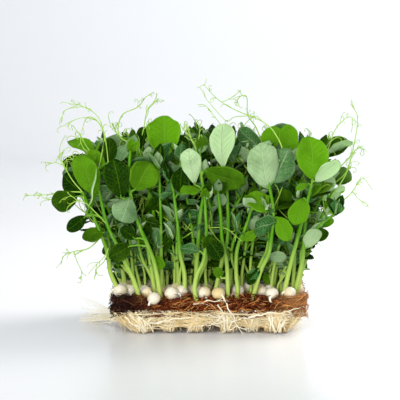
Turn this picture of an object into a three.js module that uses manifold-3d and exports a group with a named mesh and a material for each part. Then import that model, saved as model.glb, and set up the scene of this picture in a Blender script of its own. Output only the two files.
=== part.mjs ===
// A block of pea shoots lifted out of its growing punnet: a felt of white roots, a coconut fibre mat,
// the sprouted peas lying on it and the shoots, each with its stem, leaflets and tendrils.
// Millimetres, +Z up, +X to the right, +Y to the back. The origin is under the middle of the block,
// on the flat end of its central root foot.

import * as THREE from 'three';
import { mergeVertices } from 'three/addons/utils/BufferGeometryUtils.js';
import Module from 'manifold-3d';

const wasm = await Module();
wasm.setup();

// ---------------------------------------------------------------------------------------------
// Driving dimensions
// ---------------------------------------------------------------------------------------------

const gap = 0.3; // clearance kept between neighbouring pieces

const matLength = 132;
const matDepth = 86;
const matTop = 24.5;
const matUnderside = 14.3;
const matEdgeWave = 1.3; // how far the mat's sides wander in and out
const matEdgeWaveX = 8; // the waves' lengths are 2 pi times these
const matEdgeWaveY = 6;
const matTopWave = 0.7;
const matTopWaveX = 7;
const matTopWaveY = 6;
const matTopRounding = 1.8; // fall of the top at the mat's edge
const matCornerPull = 0.05; // share of the way in that the corners are drawn

const rootTop = matUnderside - gap;
const rootUnderside = 4;
const rootInset = 3; // how far the felt stands back from the mat's edge
const rootSidePull = 0.02; // unevenness of the felt's sides, as a share of its size
const rootSwell = 1.2; // unevenness of its underside
const rootEdgeRise = 2.2; // rise of the underside towards the felt's edge
const footSole = 0.62; // a foot's flat end, waist height, shoulder and top
const footWaist = 3.2;
const footShoulder = 0.85;
const footTop = 8;
const footSides = 7;
const trailRadius = 1.2;
const trailSides = 5;
const trailSteps = 6;

const peaHeight = 0.75; // a pea's middle over the mat, as a share of its radius

const stemRadius = 1.35;
const stemSides = 4;
const stemSteps = 6;
const stemDepthInMat = 4;
const petioleRadius = 0.7;
const petioleSteps = 2;
const tendrilRadius = 0.55;
const tendrilSteps = 5;
const thinSides = 3;

const bladeRings = 3;
const bladeThickness = 1.1;
const bladeFold = 0.16; // rise of the margins over the midrib, as a share of the width
const bladeDroop = 0.1; // fall of the tip, as a share of the length
const bladeWidest = 0.9; // 1 puts the widest place in the middle, less moves it to the base
const bladeFullness = 0.7; // the less, the blunter the blade's two ends
const petioleInBlade = 2;
const petioleMiddle = 0.55; // the petiole bends up a little over here
const petioleArch = 0.6;

const rows = 3; // shoots behind the front ones, in rows along X
const shootsPerRow = 6;
const rowStart = 8;
const rowSpacing = 14;
const columnSpacing = 22;
const footScatter = [5, 3]; // along X and Y
const leanOut = [0.36, 0.35]; // how much further out a tip is than its foot
const leanCentreY = 4;
const leanScatter = [9, 5];
const rowHeight = [84, 108];
const heightFall = 0.14; // loss of height towards the block's ends
const stemStations = [0, 0.3, 0.55, 0.8, 1];
const pairStations = [0.62, 0.93];
const pairStep = [150, 210]; // turn from one leaf pair to the next, in degrees
const petioleRise = [25, 50];
const petioleReach = [9, 14];
const pairSpread = 62; // angle of each leaflet to its petiole
const spreadScatter = 12;
const leafletRise = [0, 40];
const leafletLength = [21, 27];
const leafletWidth = [13, 17];
const leafletTurn = [-25, 25];
const leafletFace = [35, 75];

const leafGreen = '#4f9a3a';
const stemGreen = '#9dc36b';
const peaCream = '#e9dfc3';
const coirBrown = '#7d4a26';
const rootCream = '#efe0b8';

// Roots under the felt gather in feet: [x, y, radius].
const feet = [
  [-45, -35, 9], [-28, -36, 6], [-10, -35, 7.5], [13, -36, 6.5], [30, -34, 6], [46, -35, 10],
  [-53, -6, 8], [-26, 2, 7], [0, 0, 9], [27, -3, 7], [54, 2, 8],
  [-42, 32, 8], [-14, 30, 7], [12, 34, 8], [40, 31, 8],
];

// Loose roots that trail from the left end of the felt onto the surface: paths of [x, y, z].
const trails = [
  [[-67, -22, 8], [-75, -12, 5], [-84, -4, 2.4], [-94, 2, 1.4]],
  [[-67, -18, 9], [-76, -9, 6], [-83, -3, 3.2], [-90, 4, 1.4]],
  [[-67, -25, 6.5], [-73, -16, 4.4], [-82, -7, 2.4], [-96, -4, 1.3]],
];

// Peas that lie along the front of the mat: [x, y, radius, sunk], where the last is how far one
// that has slipped to the mat's edge lies below the others.
const peas = [
  [-62, -31, 5], [-43, -34, 3.9], [-38, -42, 4.6, 3.4], [-26, -40, 4.7], [-19.3, -33, 4.6],
  [-8.5, -27, 4.3], [-3.2, -38, 4.5], [6.5, -41, 4.5], [20.5, -29, 4.2], [37, -32, 4],
  [43.5, -40, 4.3], [56, -37, 4.2], [62, -21, 4.4], [8.5, -19, 4.2], [52, -13, 4.2],
];

// The shoots along the front, drawn one by one. Stems and tendrils are paths of [x, y, z].
// A leaf is [base, tip, width, turn]: at turn 0 its upper side looks to the front, and the
// turn in degrees goes round the leaf's own axis.
const frontShoots = [
  {
    stem: [[-66, -31], [-68, -33, 40], [-70, -35, 54], [-74, -36, 67], [-81, -37, 84], [-87, -38, 98]],
    leaves: [
      [[-91, -38, 95], [-107, -42, 89], 14, 20],
      [[-87, -37, 96], [-102, -30, 108], 14, -20],
      [[-85, -36, 81], [-98, -34, 70], 9, 10],
      [[-72, -37, 70], [-87, -42, 69], 9, 30],
    ],
    tendrils: [
      [[-87, -38, 98], [-94, -36, 106], [-100, -34, 116], [-104, -32, 122]],
      [[-87, -38, 98], [-100, -36, 98], [-110, -34, 96], [-128, -32, 95]],
      [[-74, -36, 67], [-83, -38, 59], [-93, -40, 57], [-100, -40, 54], [-102, -40, 48]],
    ],
  },
  {
    stem: [[-47, -38], [-52, -40, 37], [-58, -42, 50], [-63, -42, 61], [-70, -41, 76], [-76, -40, 100]],
    leaves: [
      [[-81, -39, 97], [-86, -36, 124], 15, 0],
      [[-84, -43, 84], [-73, -44, 115], 10, 75],
    ],
    tendrils: [[[-70, -41, 76], [-77, -45, 84], [-84, -46, 91], [-90, -46, 93], [-96, -46, 89]]],
  },
  {
    stem: [
      [-33, -36], [-37, -37, 45], [-41, -38, 58], [-47, -39, 72], [-51, -40, 84], [-55, -40, 105],
      [-54, -38, 127],
    ],
    leaves: [
      [[-60, -45, 95], [-64, -46, 121], 17, 0],
      [[-51, -42, 100], [-40, -43, 119], 19, 20],
      [[-56, -41, 104], [-58, -42, 115], 6, 0],
      [[-54, -42, 95], [-61, -50, 79], 16, 180],
      [[-51, -40, 66], [-60, -43, 74], 8, 20],
      [[-54, -41, 61], [-68, -48, 55], 11, 0],
    ],
    tendrils: [],
  },
  {
    stem: [[-37, -27], [-41, -26, 48], [-43, -25, 64], [-42, -22, 87], [-41, -20, 112]],
    leaves: [
      [[-43, -23, 81], [-32, -34, 93], 14, 30],
      [[-42, -25, 65], [-37, -32, 79], 10, 0],
      [[-44, -26, 61], [-53, -32, 72], 8, 10],
      [[-40, -28, 51], [-32, -38, 45], 8, 10],
    ],
    tendrils: [],
  },
  {
    stem: [[-17, -34], [-17, -34, 40], [-20, -34, 54], [-21, -34, 68], [-23, -33, 86], [-26, -32, 106]],
    leaves: [
      [[-20, -32, 97], [-20, -34, 114], 12, 0],
      [[-26, -33, 104], [-29, -36, 120], 9, 60],
    ],
    tendrils: [],
  },
  {
    stem: [
      [-8, -41], [-10, -42, 31], [-8, -42, 42], [-4, -42, 50], [-2, -43, 65], [-2, -43, 78],
      [-3, -42, 95],
    ],
    leaves: [
      [[-7, -43, 58], [-19, -46, 62], 8, 160],
      [[-2, -43, 59], [2, -48, 69], 9, 20],
      [[-1, -44, 66], [9, -50, 55], 11, 0],
    ],
    tendrils: [],
  },
  {
    stem: [[-10, -29], [-9, -31, 39], [-8, -32, 54], [-6, -34, 82], [-4, -35, 96], [-6, -36, 116]],
    leaves: [
      [[-10, -37, 103], [-13, -40, 128], 15, 180],
      [[-3, -38, 113], [23, -44, 102], 15, 10],
      [[-6, -36, 99], [-20, -42, 101], 9, 60],
      [[-6, -35, 125], [-3, -32, 137], 9, 20],
    ],
    tendrils: [[[-6, -36, 116], [-9, -34, 127], [-13, -32, 136], [-15, -30, 146]]],
  },
  {
    stem: [[3, -31], [9, -30, 48], [13, -30, 65], [13, -32, 88], [11, -33, 113]],
    leaves: [
      [[10, -34, 114], [6, -36, 145], 18, 180],
      [[12, -33, 90], [3, -38, 95], 9, 170],
    ],
    tendrils: [],
  },
  {
    stem: [[13, -36], [13, -37, 37], [12, -38, 50], [9, -38, 65], [8, -38, 82], [6, -38, 99]],
    leaves: [[[9, -38, 38], [4, -42, 45], 6, 0]],
    tendrils: [],
  },
  {
    stem: [
      [19, -35], [20, -34, 29], [19, -34, 40], [19, -35, 54], [21, -36, 63], [26, -37, 75],
      [30, -36, 89],
    ],
    leaves: [[[23, -37, 64], [32, -42, 72], 7, 20]],
    tendrils: [],
  },
  {
    stem: [
      [30, -38], [32, -38, 30], [36, -39, 44], [41, -40, 55], [43, -41, 67], [44, -42, 86],
      [40, -42, 109],
    ],
    leaves: [
      [[40, -43, 101], [33, -46, 132], 20, 180],
      [[43, -42, 105], [56, -38, 126], 17, 170],
      [[46, -43, 78], [30, -50, 75], 15, 150],
      [[47, -42, 81], [56, -47, 67], 12, 20],
      [[43, -41, 85], [28, -36, 97], 14, 30],
      [[35, -40, 45], [25, -44, 37], 8, 170],
    ],
    tendrils: [
      [
        [40, -42, 109], [50, -38, 124], [46, -34, 137], [37, -30, 146], [20, -26, 153],
        [9, -24, 159], [2, -24, 165], [-4, -26, 172],
      ],
    ],
  },
  {
    stem: [[51, -34], [56, -35, 45], [61, -36, 65], [65, -38, 82], [68, -39, 93], [71, -40, 107]],
    leaves: [
      [[71, -40, 107], [72, -36, 136], 20, 0],
      [[73, -40, 106], [87, -38, 122], 11, 200],
      [[68, -41, 104], [59, -46, 102], 5, 40],
      [[65, -39, 94], [60, -48, 77], 13, 0],
    ],
    tendrils: [],
  },
  {
    stem: [[62, -27], [65, -28, 48], [66, -29, 64], [67, -28, 81], [63, -26, 94]],
    leaves: [[[68, -29, 58], [75, -32, 72], 11, 200]],
    tendrils: [],
  },
  {
    stem: [[44, -20], [48, -19, 47], [50, -18, 62], [54, -17, 87], [57, -16, 109]],
    leaves: [
      [[57, -17, 122], [55, -20, 143], 13, 20],
      [[53, -18, 82], [51, -28, 98], 11, 0],
    ],
    tendrils: [],
  },
  {
    stem: [[-22, -18], [-26, -15, 55], [-29, -14, 74], [-29, -18, 97], [-30, -22, 120]],
    leaves: [[[-31, -23, 119], [-32, -21, 149], 25, 0]],
    tendrils: [],
  },
  {
    stem: [[-31, -22], [-34, -22, 47], [-37, -22, 68], [-40, -24, 91], [-44, -26, 111]],
    leaves: [[[-35, -23, 54], [-28, -30, 64], 9, 20]],
    tendrils: [],
  },
  {
    stem: [[60, -11], [68, -13, 46], [74, -14, 63], [79, -16, 77], [84, -18, 90]],
    leaves: [
      [[81, -19, 87], [93, -28, 87], 10, 10],
      [[83, -19, 95], [84, -22, 108], 8, 170],
      [[87, -19, 97], [95, -20, 100], 6, 30],
    ],
    tendrils: [
      [[84, -18, 90], [90, -16, 110], [98, -14, 119], [103, -14, 125], [108, -14, 128]],
      [[84, -18, 90], [95, -22, 108], [100, -24, 126], [103, -24, 148], [98, -24, 158]],
      [[84, -18, 90], [94, -22, 91], [100, -24, 97], [107, -24, 106], [114, -24, 98]],
    ],
  },
  {
    stem: [[39, -8], [47, -8, 54], [55, -9, 76], [63, -11, 97], [69, -14, 114]],
    leaves: [],
    tendrils: [[[69, -14, 114], [80, -12, 119], [84, -10, 126], [89, -8, 139], [96, -8, 147]]],
  },
  {
    stem: [[23, -10], [26, -7, 53], [30, -7, 76], [35, -10, 100], [39, -14, 125]],
    leaves: [
      [[42, -14, 125], [44, -14, 142], 13, 0],
      [[36, -15, 127], [20, -18, 140], 12, 160],
    ],
    tendrils: [[[39, -14, 125], [33, -18, 141], [27, -22, 150], [26, -26, 163], [20, -28, 163]]],
  },
  {
    stem: [[-2, -12], [-1, -10, 54], [4, -9, 79], [13, -10, 104], [21, -12, 125]],
    leaves: [],
    tendrils: [],
  },
  {
    stem: [[-58, -14], [-62, -15, 46], [-69, -16, 65], [-73, -19, 87], [-77, -22, 112]],
    leaves: [
      [[-70, -22, 117], [-68, -22, 134], 10, 30],
      [[-65, -21, 117], [-57, -20, 129], 9, 150],
      [[-73, -21, 114], [-85, -16, 125], 10, 10],
    ],
    tendrils: [
      [
        [-77, -22, 112], [-74, -20, 126], [-73, -18, 136], [-78, -18, 146], [-85, -20, 148],
        [-89, -22, 137],
      ],
      [[-73, -19, 87], [-70, -24, 116], [-75, -26, 146], [-87, -24, 156], [-97, -26, 158]],
    ],
  },
  {
    stem: [[-48, -8], [-51, -7, 50], [-54, -6, 69], [-53, -7, 96], [-50, -8, 126]],
    leaves: [
      [[-53, -9, 127], [-53, -10, 139], 7, 60],
      [[-47, -8, 125], [-44, -6, 141], 11, 10],
    ],
    tendrils: [
      [[-50, -8, 126], [-63, -10, 135], [-61, -12, 149], [-50, -12, 155], [-44, -12, 162], [-40, -12, 164]],
      [[-50, -8, 126], [-46, -6, 139], [-43, -6, 153], [-35, -6, 161]],
    ],
  },
  {
    stem: [[-65, 4], [-69, 3, 43], [-75, 2, 62], [-85, 1, 81], [-94, 0, 99]],
    leaves: [],
    tendrils: [],
  },
];

// ---------------------------------------------------------------------------------------------
// Closed solids from three.js geometry
// ---------------------------------------------------------------------------------------------

const point = (p) => new THREE.Vector3(p[0], p[1], p[2]);

function solid(geometry) {
  geometry.deleteAttribute('normal');
  geometry.deleteAttribute('uv');
  const merged = mergeVertices(geometry, 1e-4);
  const mesh = new wasm.Mesh({
    numProp: 3,
    vertProperties: new Float32Array(merged.attributes.position.array),
    triVerts: new Uint32Array(merged.index.array),
  });
  return new wasm.Manifold(mesh);
}

function tube(points, radius, sides, steps) {
  const section = new THREE.Shape();
  section.moveTo(radius, 0);
  for (let k = 1; k < sides; k += 1) {
    const angle = (2 * Math.PI * k) / sides;
    section.lineTo(radius * Math.cos(angle), radius * Math.sin(angle));
  }
  const path = new THREE.CatmullRomCurve3(points);
  return solid(new THREE.ExtrudeGeometry(section, { steps, extrudePath: path }));
}

// A leaflet is a flattened ball: its poles become base and tip, its rings the outline's width.
function blade(leaf, grow) {
  const { base, tip, width, turn, face } = leaf;
  const along = tip.clone().sub(base);
  const length = along.length();
  along.normalize();
  const normal = face.clone().addScaledVector(along, -face.dot(along)).normalize();
  normal.applyAxisAngle(along, THREE.MathUtils.degToRad(turn));
  const across = along.clone().cross(normal);
  const geometry = new THREE.SphereGeometry(1, 4, bladeRings);
  const places = geometry.attributes.position;
  for (let k = 0; k < places.count; k += 1) {
    const ring = Math.acos(THREE.MathUtils.clamp(places.getY(k), -1, 1));
    const ringRadius = Math.max(Math.sin(ring), 1e-6);
    const u = 1 - ring / Math.PI;
    const atPole = u < 0.01 || u > 0.99;
    const outline = atPole ? 0 : Math.sin(Math.PI * u ** bladeWidest) ** bladeFullness;
    const halfWidth = atPole ? 0 : (width / 2) * outline + grow;
    const side = (places.getX(k) / ringRadius) * halfWidth;
    const halfThickness = (bladeThickness / 2 + grow) * Math.min(1, 4 * u * (1 - u) + 0.2);
    let lift = atPole ? 0 : (places.getZ(k) / ringRadius) * halfThickness;
    lift += bladeFold * Math.abs(side) - bladeDroop * length * u * u;
    const reach = -grow + u * (length + 2 * grow);
    const place = base.clone().addScaledVector(along, reach);
    place.addScaledVector(across, side).addScaledVector(normal, lift);
    places.setXYZ(k, place.x, place.y, place.z);
  }
  return solid(geometry);
}

function ball(centre, radius) {
  const geometry = new THREE.SphereGeometry(radius, 8, 6);
  geometry.scale(1, 0.94, 0.92);
  geometry.translate(centre.x, centre.y, centre.z);
  return solid(geometry);
}

function joined(solids) {
  return wasm.Manifold.union(solids);
}

// A cut can leave crumbs: only the largest body is kept.
function largest(piece) {
  const bodies = piece.decompose();
  return bodies.reduce((best, body) => (body.volume() > best.volume() ? body : best));
}

// ---------------------------------------------------------------------------------------------
// Shoots
// ---------------------------------------------------------------------------------------------

// A repeatable stream of numbers from 0 to 1.
function numbers(seed) {
  let state = (seed * 7919 + 12345) % 2147483647;
  return () => {
    state = (state * 16807) % 2147483647;
    return state / 2147483647;
  };
}

const front = new THREE.Vector3(0, -1, 0);

function heading(azimuth, elevation) {
  const a = THREE.MathUtils.degToRad(azimuth);
  const e = THREE.MathUtils.degToRad(elevation);
  return new THREE.Vector3(Math.cos(a) * Math.cos(e), Math.sin(a) * Math.cos(e), Math.sin(e));
}

// A petiole leaves the stem a little below the leaf that it carries.
function petioleStart(stem, base) {
  const places = new THREE.CatmullRomCurve3(stem).getPoints(30).slice(6);
  const near = Math.min(...places.map((p) => p.distanceTo(base)));
  const wanted = base.clone().add(new THREE.Vector3(0, 0, -0.6 * near));
  places.sort((p, q) => p.distanceTo(wanted) - q.distanceTo(wanted));
  return places[0];
}

function petiole(start, base, along) {
  const middle = start.clone().lerp(base, petioleMiddle);
  middle.z += petioleArch;
  return [start, middle, base.clone().addScaledVector(along, petioleInBlade)];
}

function stemPath([[x, y], ...above]) {
  return [new THREE.Vector3(x, y, matTop - stemDepthInMat), ...above.map(point)];
}

function drawnShoot(row) {
  const stem = stemPath(row.stem);
  const leaves = row.leaves.map(([base, tip, width, turn]) => (
    { base: point(base), tip: point(tip), width, turn, face: front }
  ));
  const petioles = leaves.map(({ base, tip }) => (
    petiole(petioleStart(stem, base), base, tip.clone().sub(base).normalize())
  ));
  const tendrils = row.tendrils.map((path) => path.map(point));
  return { stem, leaves, petioles, tendrils };
}

// A shoot behind the front ones: it leans outwards, and its leaves stand in pairs on petioles
// that leave the stem on alternate sides.
function rowShoot(row, column) {
  const random = numbers(row * shootsPerRow + column + 1);
  const between = ([low, high]) => low + (high - low) * random();
  const about = (reach) => between([-reach, reach]);
  const x = (column - (shootsPerRow - 1) / 2) * columnSpacing + about(footScatter[0]);
  const y = rowStart + row * rowSpacing + about(footScatter[1]);
  const lean = new THREE.Vector3(x * leanOut[0] + about(leanScatter[0]), 0, 0);
  lean.y = (y - leanCentreY) * leanOut[1] + about(leanScatter[1]);
  const height = between(rowHeight) - Math.abs(x) * heightFall;
  const at = (t) => new THREE.Vector3(x, y, matTop - stemDepthInMat + t * height)
    .addScaledVector(lean, t * t);
  const stem = stemStations.map(at);
  const leaves = [];
  const petioles = [];
  let side = between([0, 360]);
  for (const t of pairStations) {
    const way = heading(side, between(petioleRise));
    const end = at(t).addScaledVector(way, between(petioleReach));
    petioles.push(petiole(at(t), end, way));
    for (const spread of [-pairSpread, pairSpread]) {
      const along = heading(side + spread + about(spreadScatter), between(leafletRise));
      const tip = end.clone().addScaledVector(along, between(leafletLength));
      const face = heading(side, between(leafletFace));
      const width = between(leafletWidth);
      leaves.push({ base: end, tip, width, turn: between(leafletTurn), face });
    }
    side += between(pairStep);
  }
  return { stem, leaves, petioles, tendrils: [] };
}

function plannedShoots() {
  const shoots = frontShoots.map(drawnShoot);
  for (let row = 0; row < rows; row += 1) {
    for (let column = 0; column < shootsPerRow; column += 1) {
      shoots.push(rowShoot(row, column));
    }
  }
  return shoots;
}

function stemSolid(shoot, grow) {
  return tube(shoot.stem, stemRadius + grow, stemSides, stemSteps);
}

function leafySolids(shoot, grow) {
  const thin = (path, radius, steps) => tube(path, radius + grow, thinSides, steps);
  return [
    ...shoot.leaves.map((leaf) => blade(leaf, grow)),
    ...shoot.petioles.map((path) => thin(path, petioleRadius, petioleSteps)),
    ...shoot.tendrils.map((path) => thin(path, tendrilRadius, tendrilSteps)),
  ];
}

// ---------------------------------------------------------------------------------------------
// Mat, roots and peas
// ---------------------------------------------------------------------------------------------

function mat(fatStems, fatPeas) {
  const thickness = matTop - matUnderside;
  const geometry = new THREE.BoxGeometry(matLength, matDepth, thickness, 11, 8, 1);
  geometry.translate(0, 0, matUnderside + thickness / 2);
  const places = geometry.attributes.position;
  for (let k = 0; k < places.count; k += 1) {
    const x = places.getX(k);
    const y = places.getY(k);
    const sx = x / (matLength / 2);
    const sy = y / (matDepth / 2);
    const edge = Math.max(Math.abs(sx), Math.abs(sy));
    const corner = 1 - matCornerPull * (sx * sy) ** 2;
    const wave = edge ** 4 * matEdgeWave;
    const nx = x * corner + wave * Math.sin(y / matEdgeWaveY) * sx;
    const ny = y * corner + wave * Math.sin(x / matEdgeWaveX + 1) * sy;
    const ripple = matTopWave * Math.sin(x / matTopWaveX) * Math.cos(y / matTopWaveY);
    const top = matTop + ripple - matTopRounding * edge ** 8;
    const onTop = places.getZ(k) > matUnderside + thickness / 2;
    places.setXYZ(k, nx, ny, onTop ? top : matUnderside);
  }
  return solid(geometry).subtract(fatStems).subtract(fatPeas);
}

function foot([x, y, radius]) {
  const profile = [
    new THREE.Vector2(0, 0),
    new THREE.Vector2(radius * footSole, 0),
    new THREE.Vector2(radius, footWaist),
    new THREE.Vector2(radius * footShoulder, footTop),
    new THREE.Vector2(0, footTop),
  ];
  const geometry = new THREE.LatheGeometry(profile, footSides);
  geometry.rotateX(Math.PI / 2);
  geometry.translate(x, y, 0);
  return solid(geometry);
}

function rootMat() {
  const length = matLength - 2 * rootInset;
  const depth = matDepth - 2 * rootInset;
  const thickness = rootTop - rootUnderside;
  const geometry = new THREE.BoxGeometry(length, depth, thickness, 8, 6, 1);
  geometry.translate(0, 0, rootUnderside + thickness / 2);
  const places = geometry.attributes.position;
  for (let k = 0; k < places.count; k += 1) {
    const x = places.getX(k);
    const y = places.getY(k);
    const edge = Math.max(Math.abs(x) / (length / 2), Math.abs(y) / (depth / 2));
    const pull = 1 - rootSidePull * edge ** 6 * (1 + Math.sin(x / 5 + y / 7));
    const swell = rootSwell * Math.sin(x / 9) * Math.sin(y / 8 + 1) + rootEdgeRise * edge ** 8;
    const below = places.getZ(k) < rootUnderside + thickness / 2;
    places.setXYZ(k, x * pull, y * pull, places.getZ(k) + (below ? swell : 0));
  }
  return joined([solid(geometry), ...feet.map(foot)]);
}

function trailingRoots() {
  return joined(trails.map((path) => tube(path.map(point), trailRadius, trailSides, trailSteps)));
}

function peaPlace([x, y, radius, sunk = 0]) {
  return new THREE.Vector3(x, y, matTop + peaHeight * radius - sunk);
}

// ---------------------------------------------------------------------------------------------
// The assembly
// ---------------------------------------------------------------------------------------------

const block = new THREE.Group();

function add(name, piece, color, roughness) {
  const mesh = piece.getMesh();
  const geometry = new THREE.BufferGeometry();
  geometry.setAttribute('position', new THREE.BufferAttribute(mesh.vertProperties, 3));
  geometry.setIndex(new THREE.BufferAttribute(mesh.triVerts, 1));
  geometry.computeVertexNormals();
  const material = new THREE.MeshStandardMaterial({ color, roughness, metalness: 0 });
  const part = new THREE.Mesh(geometry, material);
  part.name = name;
  block.add(part);
}

const numbered = (name, index) => `${name}_${String(index + 1).padStart(2, '0')}`;

const shoots = plannedShoots();
const fatStems = shoots.map((shoot) => stemSolid(shoot, gap));
const allFatStems = joined(fatStems);

const peaSolids = [];
let fatPeas = ball(peaPlace(peas[0]), peas[0][2] + gap);
peas.forEach((pea, index) => {
  let piece = ball(peaPlace(pea), pea[2]).subtract(allFatStems);
  if (index > 0) {
    piece = piece.subtract(fatPeas);
    fatPeas = fatPeas.add(ball(peaPlace(pea), pea[2] + gap));
  }
  peaSolids.push(largest(piece));
});

add('root_mat', rootMat(), rootCream, 0.8);
add('trailing_roots', trailingRoots(), rootCream, 0.8);
add('coir_mat', largest(mat(allFatStems, fatPeas)), coirBrown, 0.95);
peaSolids.forEach((piece, index) => add(numbered('pea', index), piece, peaCream, 0.5));

// Each shoot gives way to every other stem, to the peas, to the mat and to the leaves before it.
let taken = fatPeas;
shoots.forEach((shoot, index) => {
  const others = joined(fatStems.filter((_, k) => k !== index));
  const leafy = joined(leafySolids(shoot, 0)).subtract(others).subtract(taken);
  const whole = largest(stemSolid(shoot, 0).add(leafy));
  taken = taken.add(joined(leafySolids(shoot, gap)));
  add(numbered('shoot', index), whole, index % 2 ? leafGreen : stemGreen, 0.6);
});

export default block;
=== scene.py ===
"""A block of pea shoots standing on its own roots: felted roots, a coconut fibre mat, sprouted peas
lying on it, and shoots with stems, leaflets, stipules and curling tendrils."""

import math
import random

import bmesh
import bpy
from mathutils import Matrix, Vector, noise


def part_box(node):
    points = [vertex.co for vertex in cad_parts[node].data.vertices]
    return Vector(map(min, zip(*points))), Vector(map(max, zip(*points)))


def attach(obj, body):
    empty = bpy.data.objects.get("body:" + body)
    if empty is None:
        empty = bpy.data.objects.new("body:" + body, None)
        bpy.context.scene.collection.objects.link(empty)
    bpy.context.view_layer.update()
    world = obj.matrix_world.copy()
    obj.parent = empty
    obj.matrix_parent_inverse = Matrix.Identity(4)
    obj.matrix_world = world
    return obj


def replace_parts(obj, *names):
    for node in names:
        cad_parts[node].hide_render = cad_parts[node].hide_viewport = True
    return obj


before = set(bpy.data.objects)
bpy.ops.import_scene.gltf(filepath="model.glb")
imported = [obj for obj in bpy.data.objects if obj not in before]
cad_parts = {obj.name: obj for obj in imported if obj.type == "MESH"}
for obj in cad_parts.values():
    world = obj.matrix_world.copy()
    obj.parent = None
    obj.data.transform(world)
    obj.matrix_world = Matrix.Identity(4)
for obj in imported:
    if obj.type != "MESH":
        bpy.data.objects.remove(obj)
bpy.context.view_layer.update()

# Unseeded, the noise module's vectors differ from run to run.
noise.seed_set(7)

MM = 0.001
FRONT = Vector((0, -1, 0))
UP = Vector((0, 0, 1))

# The mat's own box gives the block's footprint and the height that the stems leave it at.
MAT_LOW, MAT_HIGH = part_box("coir_mat")
MAT_TOP = MAT_HIGH[2] - 0.5 * MM
ROOT_LOW, ROOT_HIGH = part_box("root_mat")

STEM_DEPTH = 4 * MM
STEM_RADIUS = 1.7 * MM
PETIOLE_RADIUS = 0.75 * MM
TENDRIL_RADIUS = 0.5 * MM
TENDRIL_TIP = 0.22 * MM
LEAF_THICKNESS = 0.32 * MM

ROWS = 3
SHOOTS_PER_ROW = 6
ROW_START = 8 * MM
ROW_SPACING = 14 * MM
COLUMN_SPACING = 22 * MM

# Feet that the roots gather in under the felt, in millimetres: x, y, radius.
FEET = [
    (-45, -35, 9), (-28, -36, 6), (-10, -35, 7.5), (13, -36, 6.5), (30, -34, 6), (46, -35, 10),
    (-53, -6, 8), (-26, 2, 7), (0, 0, 9), (27, -3, 7), (54, 2, 8),
    (-42, 32, 8), (-14, 30, 7), (12, 34, 8), (40, 31, 8),
]

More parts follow.
